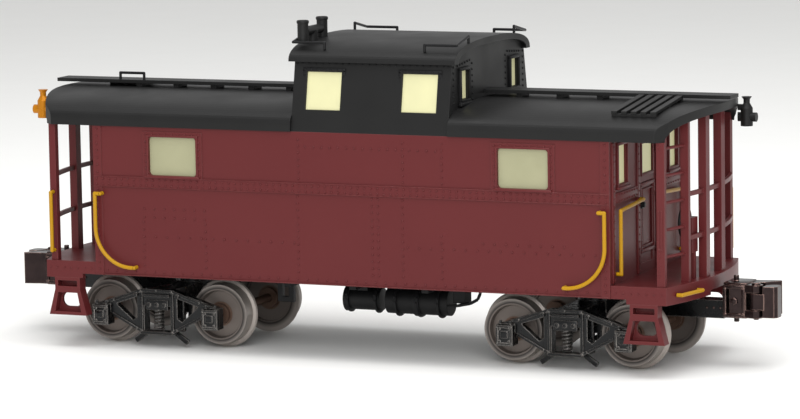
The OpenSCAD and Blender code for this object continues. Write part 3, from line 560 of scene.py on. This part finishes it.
def column(x: float, low: float, high: float, pitch: float, raised: bool = False) -> Row:
    """Make an upright row at one place along the wall."""
    return Row((x, low), (x, high), pitch, raised)


def level(z: float, start: float, end: float, pitch: float, raised: bool = False) -> Row:
    """Make a level row at one height."""
    return Row((start, z), (end, z), pitch, raised)


@dataclass
class SideWalls:
    """Rivets, window rims, sills and seams of both long walls."""

    bench: Bench
    wall_y: float = 30.5
    belt_y: float = 30.8
    half_len: float = 78.4
    window_x: float = 53.3
    window_z: float = 56.55
    window_rim: Point = (16.2, 0.5, 12.2)
    rim_y: float = 30.85
    rim_w: float = 0.65
    rim_rivets: tuple[Row, ...] = (level(62.8, -8.4, 8.4, 2.1, True), column(-8.4, 51.2, 60.7, 1.9, True),
                                   column(8.4, 51.2, 60.7, 1.9, True))
    sill_half: float = 8.6
    sill_z: tuple[float, float] = (50.3, 51.0)
    sill_y: float = 31.4
    seam_zs: tuple[float, ...] = (47.45, 50.35, 22.1)
    seam_half_h: float = 0.15
    seam_y: float = 30.95
    seam_edge: float = 0.12
    belt_rows: tuple[Row, ...] = (level(49.6, -77.5, 77.5, 2.0, True), level(48.1, -77.5, 77.5, 2.0, True))
    corner_rows: tuple[Row, ...] = (column(77.2, 23.5, 46.6, 1.9, True), column(77.2, 51.5, 63.8, 1.9, True),
                                    column(-77.2, 23.5, 46.6, 1.9, True),
                                    column(-77.2, 51.5, 63.8, 1.9, True))
    upper_rows: tuple[Row, ...] = (column(-14.2, 51.6, 62.6, 1.8), column(17.6, 51.6, 62.6, 1.8),
                                   column(29.3, 51.6, 62.6, 1.8), level(60.6, -12.0, 15.6, 2.6),
                                   level(60.6, 19.6, 27.5, 2.6))
    lower_rows: tuple[Row, ...] = (level(41.4, -62.6, -43.6, 3.0), level(38.9, -62.6, -43.6, 3.0),
                                   level(33.4, -62.8, -15.8, 3.5), level(33.4, 18.8, 74.2, 3.5),
                                   level(35.4, 41.3, 65.2, 3.5), level(23.2, -74.8, 74.8, 3.0))
    lower_columns: tuple[Row, ...] = (column(-62.9, 25.2, 37.5, 2.0), column(-43.4, 25.2, 37.5, 2.0),
                                      column(-14.6, 25.2, 46.6, 2.0), column(8.1, 25.2, 46.6, 2.0),
                                      column(9.9, 25.2, 46.6, 2.0), column(17.3, 25.2, 46.6, 2.0),
                                      column(29.0, 25.2, 37.0, 2.0))

    def rivets(self, side: int, rows: tuple[Row, ...], shift: float = 0.0) -> list[bpy.types.Object]:
        """Set rows of rivets on one wall.

        Args:
            side: Which side of the car, -1 or 1.
            rows: The rows.
            shift: How far along the wall they are moved.

        Returns:
            The rows as objects.
        """
        made = []
        for row in rows:
            y = side * (self.belt_y if row.raised else self.wall_y)
            (x0, z0), (x1, z1) = row.start, row.end
            made.append(self.bench.row((x0 + shift, y, z0), (x1 + shift, y, z1), row.pitch, (0, side, 0)))
        return made

    def build(self) -> None:
        """Rivet both walls and set the window rims, sills and seams."""
        plain = self.belt_rows + self.corner_rows + self.upper_rows + self.lower_rows + self.lower_columns
        for side, name in ((-1, "right"), (1, "left")):
            heads = self.rivets(side, plain)
            trim = []
            for mid in (-self.window_x, self.window_x):
                heads += self.rivets(side, self.rim_rivets, mid)
                trim.append(self.bench.rim((mid, side * self.rim_y, self.window_z), self.window_rim,
                                           self.rim_w))
                trim.append(self.bench.block((mid - self.sill_half, side * self.wall_y, self.sill_z[0]),
                                             (mid + self.sill_half, side * self.sill_y, self.sill_z[1])))
            for z in self.seam_zs:
                trim.append(self.bench.block((-self.half_len, side * self.wall_y, z - self.seam_half_h),
                                             (self.half_len, side * self.seam_y, z + self.seam_half_h),
                                             self.seam_edge))
            self.bench.hand_over("side_rivets_" + name, heads, "carbody", Slot.MAROON)
            self.bench.hand_over("side_trim_" + name, trim, "carbody", Slot.MAROON)


@dataclass
class EndWalls:
    """Belts, strips, door panels, knobs and rivets of the end walls."""

    bench: Bench
    face_x: float = 78.5
    door_x: float = 78.2
    bedding: float = 0.1
    raise_x: float = 0.4
    plate_edge: float = 0.15
    door_strip: tuple[float, float, float, float] = (7.2, 9.4, 25.6, 63.6)
    belt: tuple[float, float, float, float] = (9.4, 26.9, 47.2, 50.2)
    corner_strip: tuple[float, float, float, float] = (26.9, 29.0, 25.6, 64.2)
    lintel: tuple[float, float, float, float] = (-9.4, 9.4, 63.0, 64.6)
    lintel_out: float = 0.5
    window_y: float = 20.6
    window_z: float = 57.6
    window_rim: Point = (0.5, 8.4, 12.4)
    rim_w: float = 0.9
    rim_out: float = 0.2
    sill_half: float = 4.8
    sill_z: tuple[float, float] = (50.9, 51.6)
    sill_out: float = 0.9
    belt_rows: tuple[Row, ...] = (level(49.6, 10, 25.9, 2.0), level(47.9, 10, 25.9, 2.0))
    strip_rows: tuple[Row, ...] = (column(8.3, 26.4, 63.0, 2.0), column(27.9, 26.4, 63.0, 2.0))
    lintel_row: Row = level(63.8, -8.4, 8.4, 2.0)
    small_head: float = 0.28
    door_rims: tuple[tuple[float, Point, float], ...] = ((57.1, (0.6, 10, 9.8), 0.8),
                                                         (40.6, (0.6, 11.6, 19.6), 1.1),
                                                         (40.6, (0.4, 8.2, 16.2), 0.5))
    hinge_zs: tuple[float, ...] = (30, 44, 58)
    hinge_y: float = 6.8
    hinge_h: float = 2.6
    hinge_d: float = 0.8
    knob_y: float = 5.4
    knob_z: float = 44.5
    knob_sizes: tuple[tuple[float, float], ...] = ((79.6, 1.5), (78.9, 2.3))

    def plate(self, end: int, side: int, spread: tuple[float, float, float, float],
              out: float) -> bpy.types.Object:
        """Lay a raised plate on an end wall.

        Args:
            end: Which end, 1 or -1.
            side: Which side, 1 or -1.
            spread: Its Y and Z limits.
            out: How far it stands out.

        Returns:
            The plate.
        """
        face, (y0, y1, z0, z1) = end * self.face_x, spread
        return self.bench.block((face - end * self.bedding, side * y0, z0), (face + end * out, side * y1, z1),
                                self.plate_edge)

    def rivets(self, end: int, side: int, row: Row, out: float, radius: float) -> bpy.types.Object:
        """Set one row of rivets.

        Args:
            end: Which end, 1 or -1.
            side: Which side, 1 or -1.
            row: The row, its places along Y.
            out: How far out its surface is.
            radius: Radius of a head.

        Returns:
            The row.
        """
        x = end * (self.face_x + out)
        (y0, z0), (y1, z1) = row.start, row.end
        return self.bench.row((x, side * y0, z0), (x, side * y1, z1), row.pitch, (end, 0, 0), radius)

    def half(self, end: int, side: int) -> list[bpy.types.Object]:
        """Make the plates, window rim and sill beside the door.

        Args:
            end: Which end, 1 or -1.
            side: Which side, 1 or -1.

        Returns:
            The pieces.
        """
        mid = side * self.window_y
        face = end * self.face_x
        sill = (mid - self.sill_half, mid + self.sill_half, *self.sill_z)
        made = [self.plate(end, side, spread, self.raise_x) for spread in (self.door_strip, self.belt,
                                                                           self.corner_strip)]
        made.append(self.bench.rim((face + end * self.rim_out, mid, self.window_z), self.window_rim,
                                   self.rim_w))
        made.append(self.plate(end, 1, sill, self.sill_out))
        return made

    def door(self, end: int) -> list[bpy.types.Object]:
        """Make the door's rims and hinges.

        Args:
            end: Which end, 1 or -1.

        Returns:
            The pieces.
        """
        made = [self.bench.rim((end * self.door_x, 0, z), size, width) for z, size, width in self.door_rims]
        for z in self.hinge_zs:
            foot = (end * self.face_x, end * self.hinge_y, z)
            made.append(self.bench.rod(foot, (foot[0], foot[1], z + self.hinge_h), self.hinge_d))
        return made

    def build(self) -> None:
        """Dress both ends."""
        for end, name in ((1, "a"), (-1, "b")):
            trim, heads = [], []
            for side in (-1, 1):
                trim += self.half(end, side)
                heads += [self.rivets(end, side, row, self.raise_x, self.small_head)
                          for row in self.belt_rows + self.strip_rows]
            trim.append(self.plate(end, 1, self.lintel, self.lintel_out))
            heads.append(self.rivets(end, 1, self.lintel_row, self.lintel_out, RIVET_R))
            trim += self.door(end)
            self.bench.hand_over("end_trim_" + name, trim, "carbody", Slot.MAROON)
            self.bench.hand_over("end_rivets_" + name, heads, "carbody", Slot.MAROON)
            y = -end * self.knob_y
            knob = [self.bench.rod((end * self.door_x, y, self.knob_z), (end * reach, y, self.knob_z), wide)
                    for reach, wide in self.knob_sizes]
            self.bench.hand_over("door_knob_" + name, knob, "carbody", Slot.BLACK)


@dataclass
class Cupola:
    """Window rims, sills and rivets of the cupola."""

    bench: Bench
    x0: float = -16.25
    x1: float = 31.25
    wall_y: float = 26.8
    window_xs: tuple[float, ...] = (-7.0, 22.0)
    window_z: float = 76.15
    window_rim: Point = (13.0, 1.0, 12.8)
    rim_out: float = 0.3
    rim_w: float = 1.1
    rim_face: float = 0.8
    sill_half: float = 7.0
    sill_z: tuple[float, float] = (68.8, 69.8)
    sill_out: float = 1.3
    rim_rows: tuple[Row, ...] = (level(82.0, -5.8, 5.8, 1.9), column(-5.95, 70.6, 80.8, 1.8),
                                 column(5.95, 70.6, 80.8, 1.8))
    corner_in: float = 0.9
    corner_row: Row = column(0.0, 67.2, 83.4, 1.8)
    level_in: float = 2.4
    level_zs: tuple[float, float] = (66.6, 83.6)
    level_pitch: float = 2.0
    end_window_y: float = 18.5
    end_window_z: float = 77.95
    end_rim: Point = (1.0, 7.6, 9.9)
    end_rim_w: float = 0.9
    end_sill_half: float = 4.3
    end_sill_z: tuple[float, float] = (72.2, 73.1)
    end_sill_out: float = 1.2
    end_rows: tuple[Row, ...] = (column(25.9, 73.4, 83.4, 1.8), column(12.4, 73.4, 83.4, 1.8),
                                 Row((14.0, 84.4), (23.0, 83.6), 2.0))

    def side_rivets(self, side: int, row: Row, shift: float, out: float) -> bpy.types.Object:
        """Set one row on a long side.

        Args:
            side: Which side, 1 or -1.
            row: The row.
            shift: How far along the side it is moved.
            out: How far out its surface is.

        Returns:
            The row.
        """
        y = side * (self.wall_y + out)
        (xa, za), (xb, zb) = row.start, row.end
        return self.bench.row((xa + shift, y, za), (xb + shift, y, zb), row.pitch, (0, side, 0))

    def sides(self) -> list[bpy.types.Object]:
        """Make the trim of both long sides.

        Returns:
            Its pieces.
        """
        made = []
        for side in (-1, 1):
            y = side * self.wall_y
            for x in self.window_xs:
                made.append(self.bench.rim((x, y + side * self.rim_out, self.window_z), self.window_rim,
                                           self.rim_w))
                made.append(self.bench.block((x - self.sill_half, y, self.sill_z[0]),
                                             (x + self.sill_half, y + side * self.sill_out, self.sill_z[1])))
                made += [self.side_rivets(side, row, x, self.rim_face) for row in self.rim_rows]
            for x in (self.x0 + self.corner_in, self.x1 - self.corner_in):
                made.append(self.side_rivets(side, self.corner_row, x, 0.0))
            for z in self.level_zs:
                row = level(z, self.x0 + self.level_in, self.x1 - self.level_in, self.level_pitch)
                made.append(self.side_rivets(side, row, 0.0, 0.0))
        return made

    def ends(self) -> list[bpy.types.Object]:
        """Make the trim of both end walls.

        Returns:
            Its pieces.
        """
        made = []
        for end, x in ((-1, self.x0), (1, self.x1)):
            for side in (-1, 1):
                mid = side * self.end_window_y
                made.append(self.bench.rim((x + end * self.rim_out, mid, self.end_window_z), self.end_rim,
                                           self.end_rim_w))
                made.append(self.bench.block((x, mid - self.end_sill_half, self.end_sill_z[0]),
                                             (x + end * self.end_sill_out, mid + self.end_sill_half,
                                              self.end_sill_z[1])))
                for row in self.end_rows:
                    (ya, za), (yb, zb) = row.start, row.end
                    made.append(self.bench.row((x, side * ya, za), (x, side * yb, zb), row.pitch,
                                               (end, 0, 0)))
        return made

    def build(self) -> None:
        """Dress the cupola."""
        self.bench.hand_over("cupola_trim", self.sides() + self.ends(), "carbody", Slot.FRAME)


@dataclass
class JournalBox:
    """A journal box with its lid, hinge rod and bolts."""

    bench: Bench
    half_w: float = 2.6
    bottom: float = 6.3
    top: float = 12.4
    out_y: float = 25.4
    lid_out: float = 0.35
    edge: float = 0.4
    lid_z: float = 9.4
    lid_rim: Point = (4.8, 0.6, 5.4)
    lid_rim_w: float = 0.55
    panel_half: float = 1.1
    panel_z: tuple[float, float] = (8.6, 10.6)
    panel_out: float = 0.4
    panel_edge: float = 0.3
    hinge_half: float = 1.8
    hinge_z: float = 12.0
    hinge_d: float = 0.9
    bolt_x: float = 1.45
    bolt_zs: tuple[float, ...] = (7.6, 11.2)
    bolt_out: float = 0.55
    bolt_d: float = 0.8
    top_bolt_in: float = 0.7
    top_bolt_z: tuple[float, float] = (12.3, 13.5)
    top_bolt_d: float = 1.0

    def build(self, x: float, side: int, back: float) -> list[bpy.types.Object]:
        """Make one box.

        Args:
            x: Its axle's place.
            side: Which side of the car, -1 or 1.
            back: Y of the side frame's face.

        Returns:
            The pieces.
        """
        out, bench = side * self.out_y, self.bench
        lid = out + side * self.lid_out
        made = [bench.block((x - self.half_w, back, self.bottom), (x + self.half_w, lid, self.top),
                            self.edge),
                bench.rim((x, lid, self.lid_z), self.lid_rim, self.lid_rim_w),
                bench.block((x - self.panel_half, lid, self.panel_z[0]),
                            (x + self.panel_half, lid + side * self.panel_out, self.panel_z[1]),
                            self.panel_edge),
                bench.rod((x - self.hinge_half, out, self.hinge_z), (x + self.hinge_half, out, self.hinge_z),
                          self.hinge_d)]
        for bolt in (x - self.bolt_x, x + self.bolt_x):
            for z in self.bolt_zs:
                made.append(bench.rod((bolt, out, z), (bolt, lid + side * self.bolt_out, z), self.bolt_d,
                                      HEX))
            y = out - side * self.top_bolt_in
            made.append(bench.rod((bolt, y, self.top_bolt_z[0]), (bolt, y, self.top_bolt_z[1]),
                                  self.top_bolt_d, HEX))
        return made


@dataclass
class Trucks:
    """Raised ribs, journal boxes, bolts, springs and spring planks of both trucks."""

    bench: Bench
    axle: float = 17.45
    face_y: float = 23.8
    centre: float = 62.7
    rib_h: float = 0.9
    rib_t: float = 1.0
    top_run: tuple[tuple[float, float], ...] = ((0, 16.8), (5, 16.7), (13.6, 13.7), (19.4, 12.1))
    foot_run: tuple[tuple[float, float], ...] = ((0, 4.5), (4.4, 4.6), (6.4, 5.6), (14.2, 9.6))
    column_run: tuple[tuple[float, float], ...] = ((4.9, 5.0), (4.9, 16.6))
    hanger_x: tuple[float, float] = (4.6, 7.0)
    hanger_y: tuple[float, float] = (19.0, 20.6)
    hanger_z: tuple[float, float] = (4.6, 15.2)
    hanger_edge: float = 0.4
    strut_run: tuple[tuple[float, float], ...] = ((4.6, 4.2), (8.4, 1.6))
    strut_y: float = 21.0
    strut_h: float = 1.5
    pin_x: float = 6.6
    pin_z: float = 15.4
    pin_out: float = 0.9
    pin_d: float = 1.3
    bolster: tuple[Point, Point] = ((-3.6, -1.4, 11.2), (3.6, 0.5, 14.2))
    bolster_edge: float = 0.3
    bolt_xs: tuple[float, ...] = (-2.4, 0.0, 2.4)
    bolt_y: tuple[float, float] = (0.4, 1.0)
    bolt_z: float = 12.7
    guide_half: float = 4.2
    guide_out: float = 0.5
    guide_z: float = 15.4
    guide_size: float = 0.8
    plank: tuple[Point, Point] = ((-5.2, -1.5, 4.1), (5.2, 0.9, 5.0))
    plank_edge: float = 0.25
    wire_r: float = 0.36
    coil_r: float = 1.25
    coil_pitch: float = 0.98
    coil_turns: int = 6
    coil_steps: int = 14
    coil_y: float = 22.6
    coil_z: float = 5.4

    def runs(self, mid: float, side: int, half: int) -> list[bpy.types.Object]:
        """Lay the ribs of one half of a side frame along its edges.

        Args:
            mid: Middle of the truck along X.
            side: Which side of the car, -1 or 1.
            half: Which half of the frame, -1 or 1.

        Returns:
            The ribs.
        """
        y = side * self.face_y
        return [self.bench.bar((mid + half * xa, y, za), (mid + half * xb, y, zb), self.rib_h, self.rib_t)
                for run in (self.top_run, self.foot_run, self.column_run)
                for (xa, za), (xb, zb) in zip(run, run[1:])]

    def middle(self, mid: float, side: int) -> list[bpy.types.Object]:
        """Make the bolster end with its bolts, the guide and the spring plank.

        Args:
            mid: Middle of the truck along X.
            side: Which side of the car, -1 or 1.

        Returns:
            The pieces.
        """
        y, bench = side * self.face_y, self.bench
        made = []
        for (low, high), edge in ((self.bolster, self.bolster_edge), (self.plank, self.plank_edge)):
            made.append(bench.block((mid + low[0], y + side * low[1], low[2]),
                                    (mid + high[0], y + side * high[1], high[2]), edge))
        for x in self.bolt_xs:
            made.append(bench.rod((mid + x, y + side * self.bolt_y[0], self.bolt_z),
                                  (mid + x, y + side * self.bolt_y[1], self.bolt_z), self.pin_d, HEX))
        y += side * self.guide_out
        made.append(bench.bar((mid - self.guide_half, y, self.guide_z),
                              (mid + self.guide_half, y, self.guide_z),
                              self.guide_size, self.guide_size))
        return made

    def ribs(self, mid: float, side: int) -> list[bpy.types.Object]:
        """Make everything raised on one side frame.

        Args:
            mid: Middle of the truck along X.
            side: Which side of the car, -1 or 1.

        Returns:
            The pieces.
        """
        y, bench = side * self.face_y, self.bench
        made = []
        for half in (-1, 1):
            made += self.runs(mid, side, half)
            made += JournalBox(bench).build(mid + half * self.axle, side, y)
            made.append(bench.block((mid + half * self.hanger_x[0], side * self.hanger_y[0],
                                     self.hanger_z[0]),
                                    (mid + half * self.hanger_x[1], side * self.hanger_y[1],
                                     self.hanger_z[1]),
                                    self.hanger_edge))
            (xa, za), (xb, zb) = self.strut_run
            made.append(bench.bar((mid + half * xa, side * self.strut_y, za),
                                  (mid + half * xb, side * self.strut_y, zb), self.strut_h, self.rib_t))
            pin = mid + half * self.pin_x
            made.append(bench.rod((pin, y, self.pin_z), (pin, y + side * self.pin_out, self.pin_z),
                                  self.pin_d, HEX))
        return made + self.middle(mid, side)

    def spring(self, mid: float, side: int) -> bpy.types.Object:
        """Wind a coil spring with a screw modifier.

        Args:
            mid: Middle of the truck along X.
            side: Which side of the car, -1 or 1.

        Returns:
            The spring.
        """
        bpy.ops.object.select_all(action="DESELECT")
        bpy.ops.mesh.primitive_circle_add(vertices=8, radius=self.wire_r * MM, fill_type="NOTHING",
                                          rotation=(math.pi / 2, 0, 0), location=(self.coil_r * MM, 0, 0))
        coil = bpy.context.object
        bpy.ops.object.transform_apply()
        wind = coil.modifiers.new("wind", "SCREW")
        wind.angle, wind.iterations = math.tau, self.coil_turns
        wind.steps = wind.render_steps = self.coil_steps
        wind.screw_offset = self.coil_pitch * MM
        self.bench.apply(coil)
        bpy.ops.object.mode_set(mode="EDIT")
        bpy.ops.mesh.select_all(action="SELECT")
        bpy.ops.mesh.remove_doubles(threshold=0.001 * MM)
        bpy.ops.mesh.fill_holes(sides=0)
        bpy.ops.object.mode_set(mode="OBJECT")
        coil.location = Vector((mid, side * self.coil_y, self.coil_z)) * MM
        bpy.ops.object.transform_apply()
        return coil

    def build(self) -> None:
        """Dress both trucks."""
        for end, name in ((1, "a"), (-1, "b")):
            mid = end * self.centre
            ribs = self.ribs(mid, -1) + self.ribs(mid, 1)
            self.bench.hand_over("frame_ribs_" + name, ribs, "truck_" + name, Slot.CASTING)
            coils = [self.spring(mid, -1), self.spring(mid, 1)]
            piece = self.bench.hand_over("coil_springs_" + name, coils, "truck_" + name, Slot.CASTING)
            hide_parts("truck_springs_" + name)


@dataclass
class Platforms:
    """Rivets of the side sills and of the outer ladder stringers."""

    bench: Bench
    sill_y: float = 30.5
    sill_row: Row = level(23.4, 80, 93.2, 2.2)
    sill_head: float = 0.3
    stringer_x: float = 93.0
    stringer_y: float = 29.9
    stringer_in: float = 0.6
    rivet_zs: tuple[float, ...] = (28.5, 33.5, 62.5)
    rivet_run: float = 2.4
    rivet_pitch: float = 1.2
    stringer_head: float = 0.25
    slot_in: float = 0.3
    slot_z: float = 41.0
    slot_rim: Point = (1.3, 0.4, 11.0)
    slot_rim_w: float = 0.35
    slot_edge: float = 0.1

    def build(self) -> None:
        """Rivet the sills and stringers at both ends."""
        for end, name in ((1, "a"), (-1, "b")):
            heads = []
            for side in (-1, 1):
                (xa, za), (xb, zb) = self.sill_row.start, self.sill_row.end
                heads.append(self.bench.row((end * xa, side * self.sill_y, za),
                                            (end * xb, side * self.sill_y, zb),
                                            self.sill_row.pitch, (0, side, 0), self.sill_head))
            y = -end * self.stringer_y
            x = end * (self.stringer_x - self.stringer_in)
            for z in self.rivet_zs:
                heads.append(self.bench.row((x, y, z), (x, y, z + self.rivet_run), self.rivet_pitch,
                                            (0, -end, 0),
                                            self.stringer_head))
            heads.append(self.bench.rim((end * (self.stringer_x - self.slot_in), y, self.slot_z),
                                        self.slot_rim,
                                        self.slot_rim_w, self.slot_edge))
            self.bench.hand_over("platform_rivets_" + name, heads, "carbody", Slot.MAROON)


@dataclass
class Couplers:
    """Ribs, knuckle pins, trip spikes and tongue bolts of the couplers."""

    bench: Bench
    pin: tuple[float, float] = (111.1, 3.74)
    pin_z: tuple[float, float] = (13.6, 23.9)
    pin_d: float = 1.5
    nut_z: tuple[float, float] = (23.3, 23.8)
    nut_d: float = 2.6
    head_x: float = 105.2
    cheek_y: float = 5.3
    cheek_z: float = 18.73
    cheek_rim: Point = (6.4, 0.8, 8.8)
    cheek_rim_w: float = 1.0
    cheek_edge: float = 0.25
    boss_y: tuple[float, float] = (5.2, 5.8)
    boss_z: float = 18.7
    boss_d: float = 2.2
    tongue_y: float = 2.8
    tongue_row: Row = level(16.2, 96.5, 100.4, 1.9)
    tongue_head: float = 0.4
    spike_x: float = 104.2
    spike_zs: tuple[tuple[float, float], ...] = ((23.2, 25.2), (14.3, 12.2))
    spike_sides: int = 16
    cap_half: tuple[float, float] = (3.4, 4.4)
    cap_zs: tuple[tuple[float, float], ...] = ((23.0, 23.7), (13.8, 14.4))
    cap_edge: float = 0.3

    def build(self) -> None:
        """Dress both couplers."""
        for end, name in ((1, "a"), (-1, "b")):
            bench, x = self.bench, end * self.head_x
            pin = (end * self.pin[0], -end * self.pin[1])
            made = [bench.rod((*pin, self.pin_z[0]), (*pin, self.pin_z[1]), self.pin_d),
                    bench.rod((*pin, self.nut_z[0]), (*pin, self.nut_z[1]), self.nut_d, HEX)]
            (xa, za), (xb, zb) = self.tongue_row.start, self.tongue_row.end
            for side in (-1, 1):
                made.append(bench.rim((x, side * self.cheek_y, self.cheek_z), self.cheek_rim,
                                      self.cheek_rim_w,
                                      self.cheek_edge))
                made.append(bench.rod((x, side * self.boss_y[0], self.boss_z),
                                      (x, side * self.boss_y[1], self.boss_z),
                                      self.boss_d, HEX))
                made.append(bench.row((end * xa, side * self.tongue_y, za),
                                      (end * xb, side * self.tongue_y, zb),
                                      self.tongue_row.pitch, (0, side, 0), self.tongue_head))
            for root, tip in self.spike_zs:
                made.append(bench.rod((end * self.spike_x, 0, root), (end * self.spike_x, 0, tip), self.pin_d,
                                      self.spike_sides))
            half_x, half_y = self.cap_half
            for low, high in self.cap_zs:
                made.append(bench.block((x - half_x, -half_y, low), (x + half_x, half_y, high),
                                        self.cap_edge))
            bench.hand_over("coupler_trim_" + name, made, "truck_" + name, Slot.COUPLER)


@dataclass
class SmokeJack:
    """Bands at the tops of the two tubes."""

    bench: Bench
    tube_in: float = 1.55
    band_z: tuple[float, float] = (0.9, 0.1)
    band_d: float = 3.5

    def build(self) -> None:
        """Band both tubes."""
        low, high = (Vector(corner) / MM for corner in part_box("smoke_jack"))
        x = (low.x + high.x) / 2
        made = [self.bench.rod((x, y, high.z - self.band_z[0]), (x, y, high.z - self.band_z[1]), self.band_d)
                for y in (low.y + self.tube_in, high.y - self.tube_in)]
        self.bench.hand_over("tube_bands", made, "carbody", Slot.BLACK)


@dataclass
class Underbody:
    """Bands of the tank and the cylinder, and the pipe that bends up beside them."""

    bench: Bench
    vessels: tuple[tuple[str, float, tuple[float, ...]], ...] = (("air_reservoir", 4.3, (3.0, 9.5, 16.0)),
                                                                 ("brake_cylinder", 3.7, (1.0, 9.6)))
    middle_y: float = -12.0
    band_w: float = 0.7
    band_h: float = 0.25
    band_sides: int = 32
    bolt_in: float = 0.3
    bolt_out: float = 0.2
    bolt_run: float = 1.6
    pipe_y: float = -15.2
    pipe_run: tuple[tuple[float, float], ...] = ((23.5, 15.0), (27.2, 15.3), (31.0, 16.1), (33.2, 17.3),
                                                 (34.0, 19.0), (34.2, 22.2))
    pipe_d: float = 0.9
    pipe_sides: int = 16

    def build(self) -> None:
        """Band the vessels and bend the pipe."""
        made = []
        for name, radius, cuts in self.vessels:
            low = Vector(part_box(name)[0]) / MM
            z = low.z + radius
            for x in (low.x + cut for cut in cuts):
                made.append(self.bench.rod((x, self.middle_y, z), (x + self.band_w, self.middle_y, z),
                                           2 * (radius + self.band_h), self.band_sides))
                bolt_x, bolt_y = x + self.bolt_in, self.middle_y - radius - self.bolt_out
                made.append(self.bench.row((bolt_x, bolt_y, z), (bolt_x, bolt_y, z + self.bolt_run),
                                           self.bolt_run,
                                           (0, -1, 0)))
        self.bench.hand_over("tank_bands", made, "carbody", Slot.FRAME)
        pipe = [self.bench.rod((xa, self.pipe_y, za), (xb, self.pipe_y, zb), self.pipe_d, self.pipe_sides)
                for (xa, za), (xb, zb) in zip(self.pipe_run, self.pipe_run[1:])]
        self.bench.hand_over("curved_pipe", pipe, "carbody", Slot.FRAME)


@dataclass
class Studio:
    """Floor, lights, backdrop and camera."""

    yaw: float = 23.41
    pitch: float = 7.42
    roll: float = -0.93
    lens: float = 185.715
    distance: float = 1176.0
    target: Point = (3.4, 0.0, 39.7)
    sensor: float = 36.0
    clip: tuple[float, float] = (0.05, 20.0)
    sky: float = 0.62
    floor_size: float = 6.0
    aim: Point = (0.0, 0.0, 0.04)
    lamps: tuple[tuple[str, Point, float, float], ...] = (("top", (0.1, -0.1, 0.9), 0.9, 8.0),
                                                          ("front", (0.35, -0.9, 0.45), 0.7, 6.0))

    def camera(self) -> None:
        """Set the camera at its viewing angle."""
        yaw, pitch, roll = (math.radians(a) for a in (self.yaw, self.pitch, self.roll))
        forward = Vector((-math.sin(yaw) * math.cos(pitch), math.cos(yaw) * math.cos(pitch),
                          -math.sin(pitch)))
        right = Vector((math.cos(yaw), math.sin(yaw), 0))
        up = right.cross(forward)
        side = math.cos(roll) * right + math.sin(roll) * up
        top = -math.sin(roll) * right + math.cos(roll) * up
        data = bpy.data.cameras.new("camera")
        data.sensor_width = self.sensor
        data.lens = self.lens
        data.clip_start, data.clip_end = self.clip
        camera = bpy.data.objects.new("camera", data)
        bpy.context.collection.objects.link(camera)
        turn = Matrix((side, top, -forward)).transposed().to_4x4()
        camera.matrix_world = Matrix.Translation((Vector(self.target) - self.distance * forward) * MM) @ turn
        bpy.context.scene.camera = camera

    def floor(self) -> None:
        """Lay the pale floor."""
        bpy.ops.object.select_all(action="DESELECT")
        bpy.ops.mesh.primitive_plane_add(size=self.floor_size, location=(0, 0, 0))
        floor = bpy.context.object
        floor.name = "floor"
        # soft white paper, so the shadow reads clearly
        floor.data.materials.append(Finish("pale_studio_paper", "#f4f4f2", "#f1f1ef", 0.8).build())

    def lights(self) -> None:
        """Hang the soft lights."""
        world = bpy.data.worlds.new("studio")
        world.use_nodes = True
        world.node_tree.nodes["Background"].inputs["Color"].default_value = (1, 1, 1, 1)
        world.node_tree.nodes["Background"].inputs["Strength"].default_value = self.sky
        bpy.context.scene.world = world
        for name, place, size, power in self.lamps:
            data = bpy.data.lights.new(name, "AREA")
            data.size, data.energy = size, power
            light = bpy.data.objects.new(name, data)
            light.location = place
            light.rotation_mode = "QUATERNION"
            light.rotation_quaternion = (Vector(self.aim) - Vector(place)).to_track_quat("-Z", "Y")
            bpy.context.collection.objects.link(light)

    def build(self) -> None:
        """Set up the whole studio."""
        bpy.context.scene.view_settings.view_transform = "Standard"
        self.camera()
        self.floor()
        self.lights()


def main() -> None:
    """Build and dress the model."""
    logging.basicConfig(level=logging.INFO, format="%(name)s: %(message)s")
    Studio().build()
    bench = Bench(dress_frame())
    for part in (SideWalls, EndWalls, Cupola, Trucks, Platforms, Couplers, SmokeJack, Underbody):
        part(bench).build()


if __name__ == "__main__":
    main()
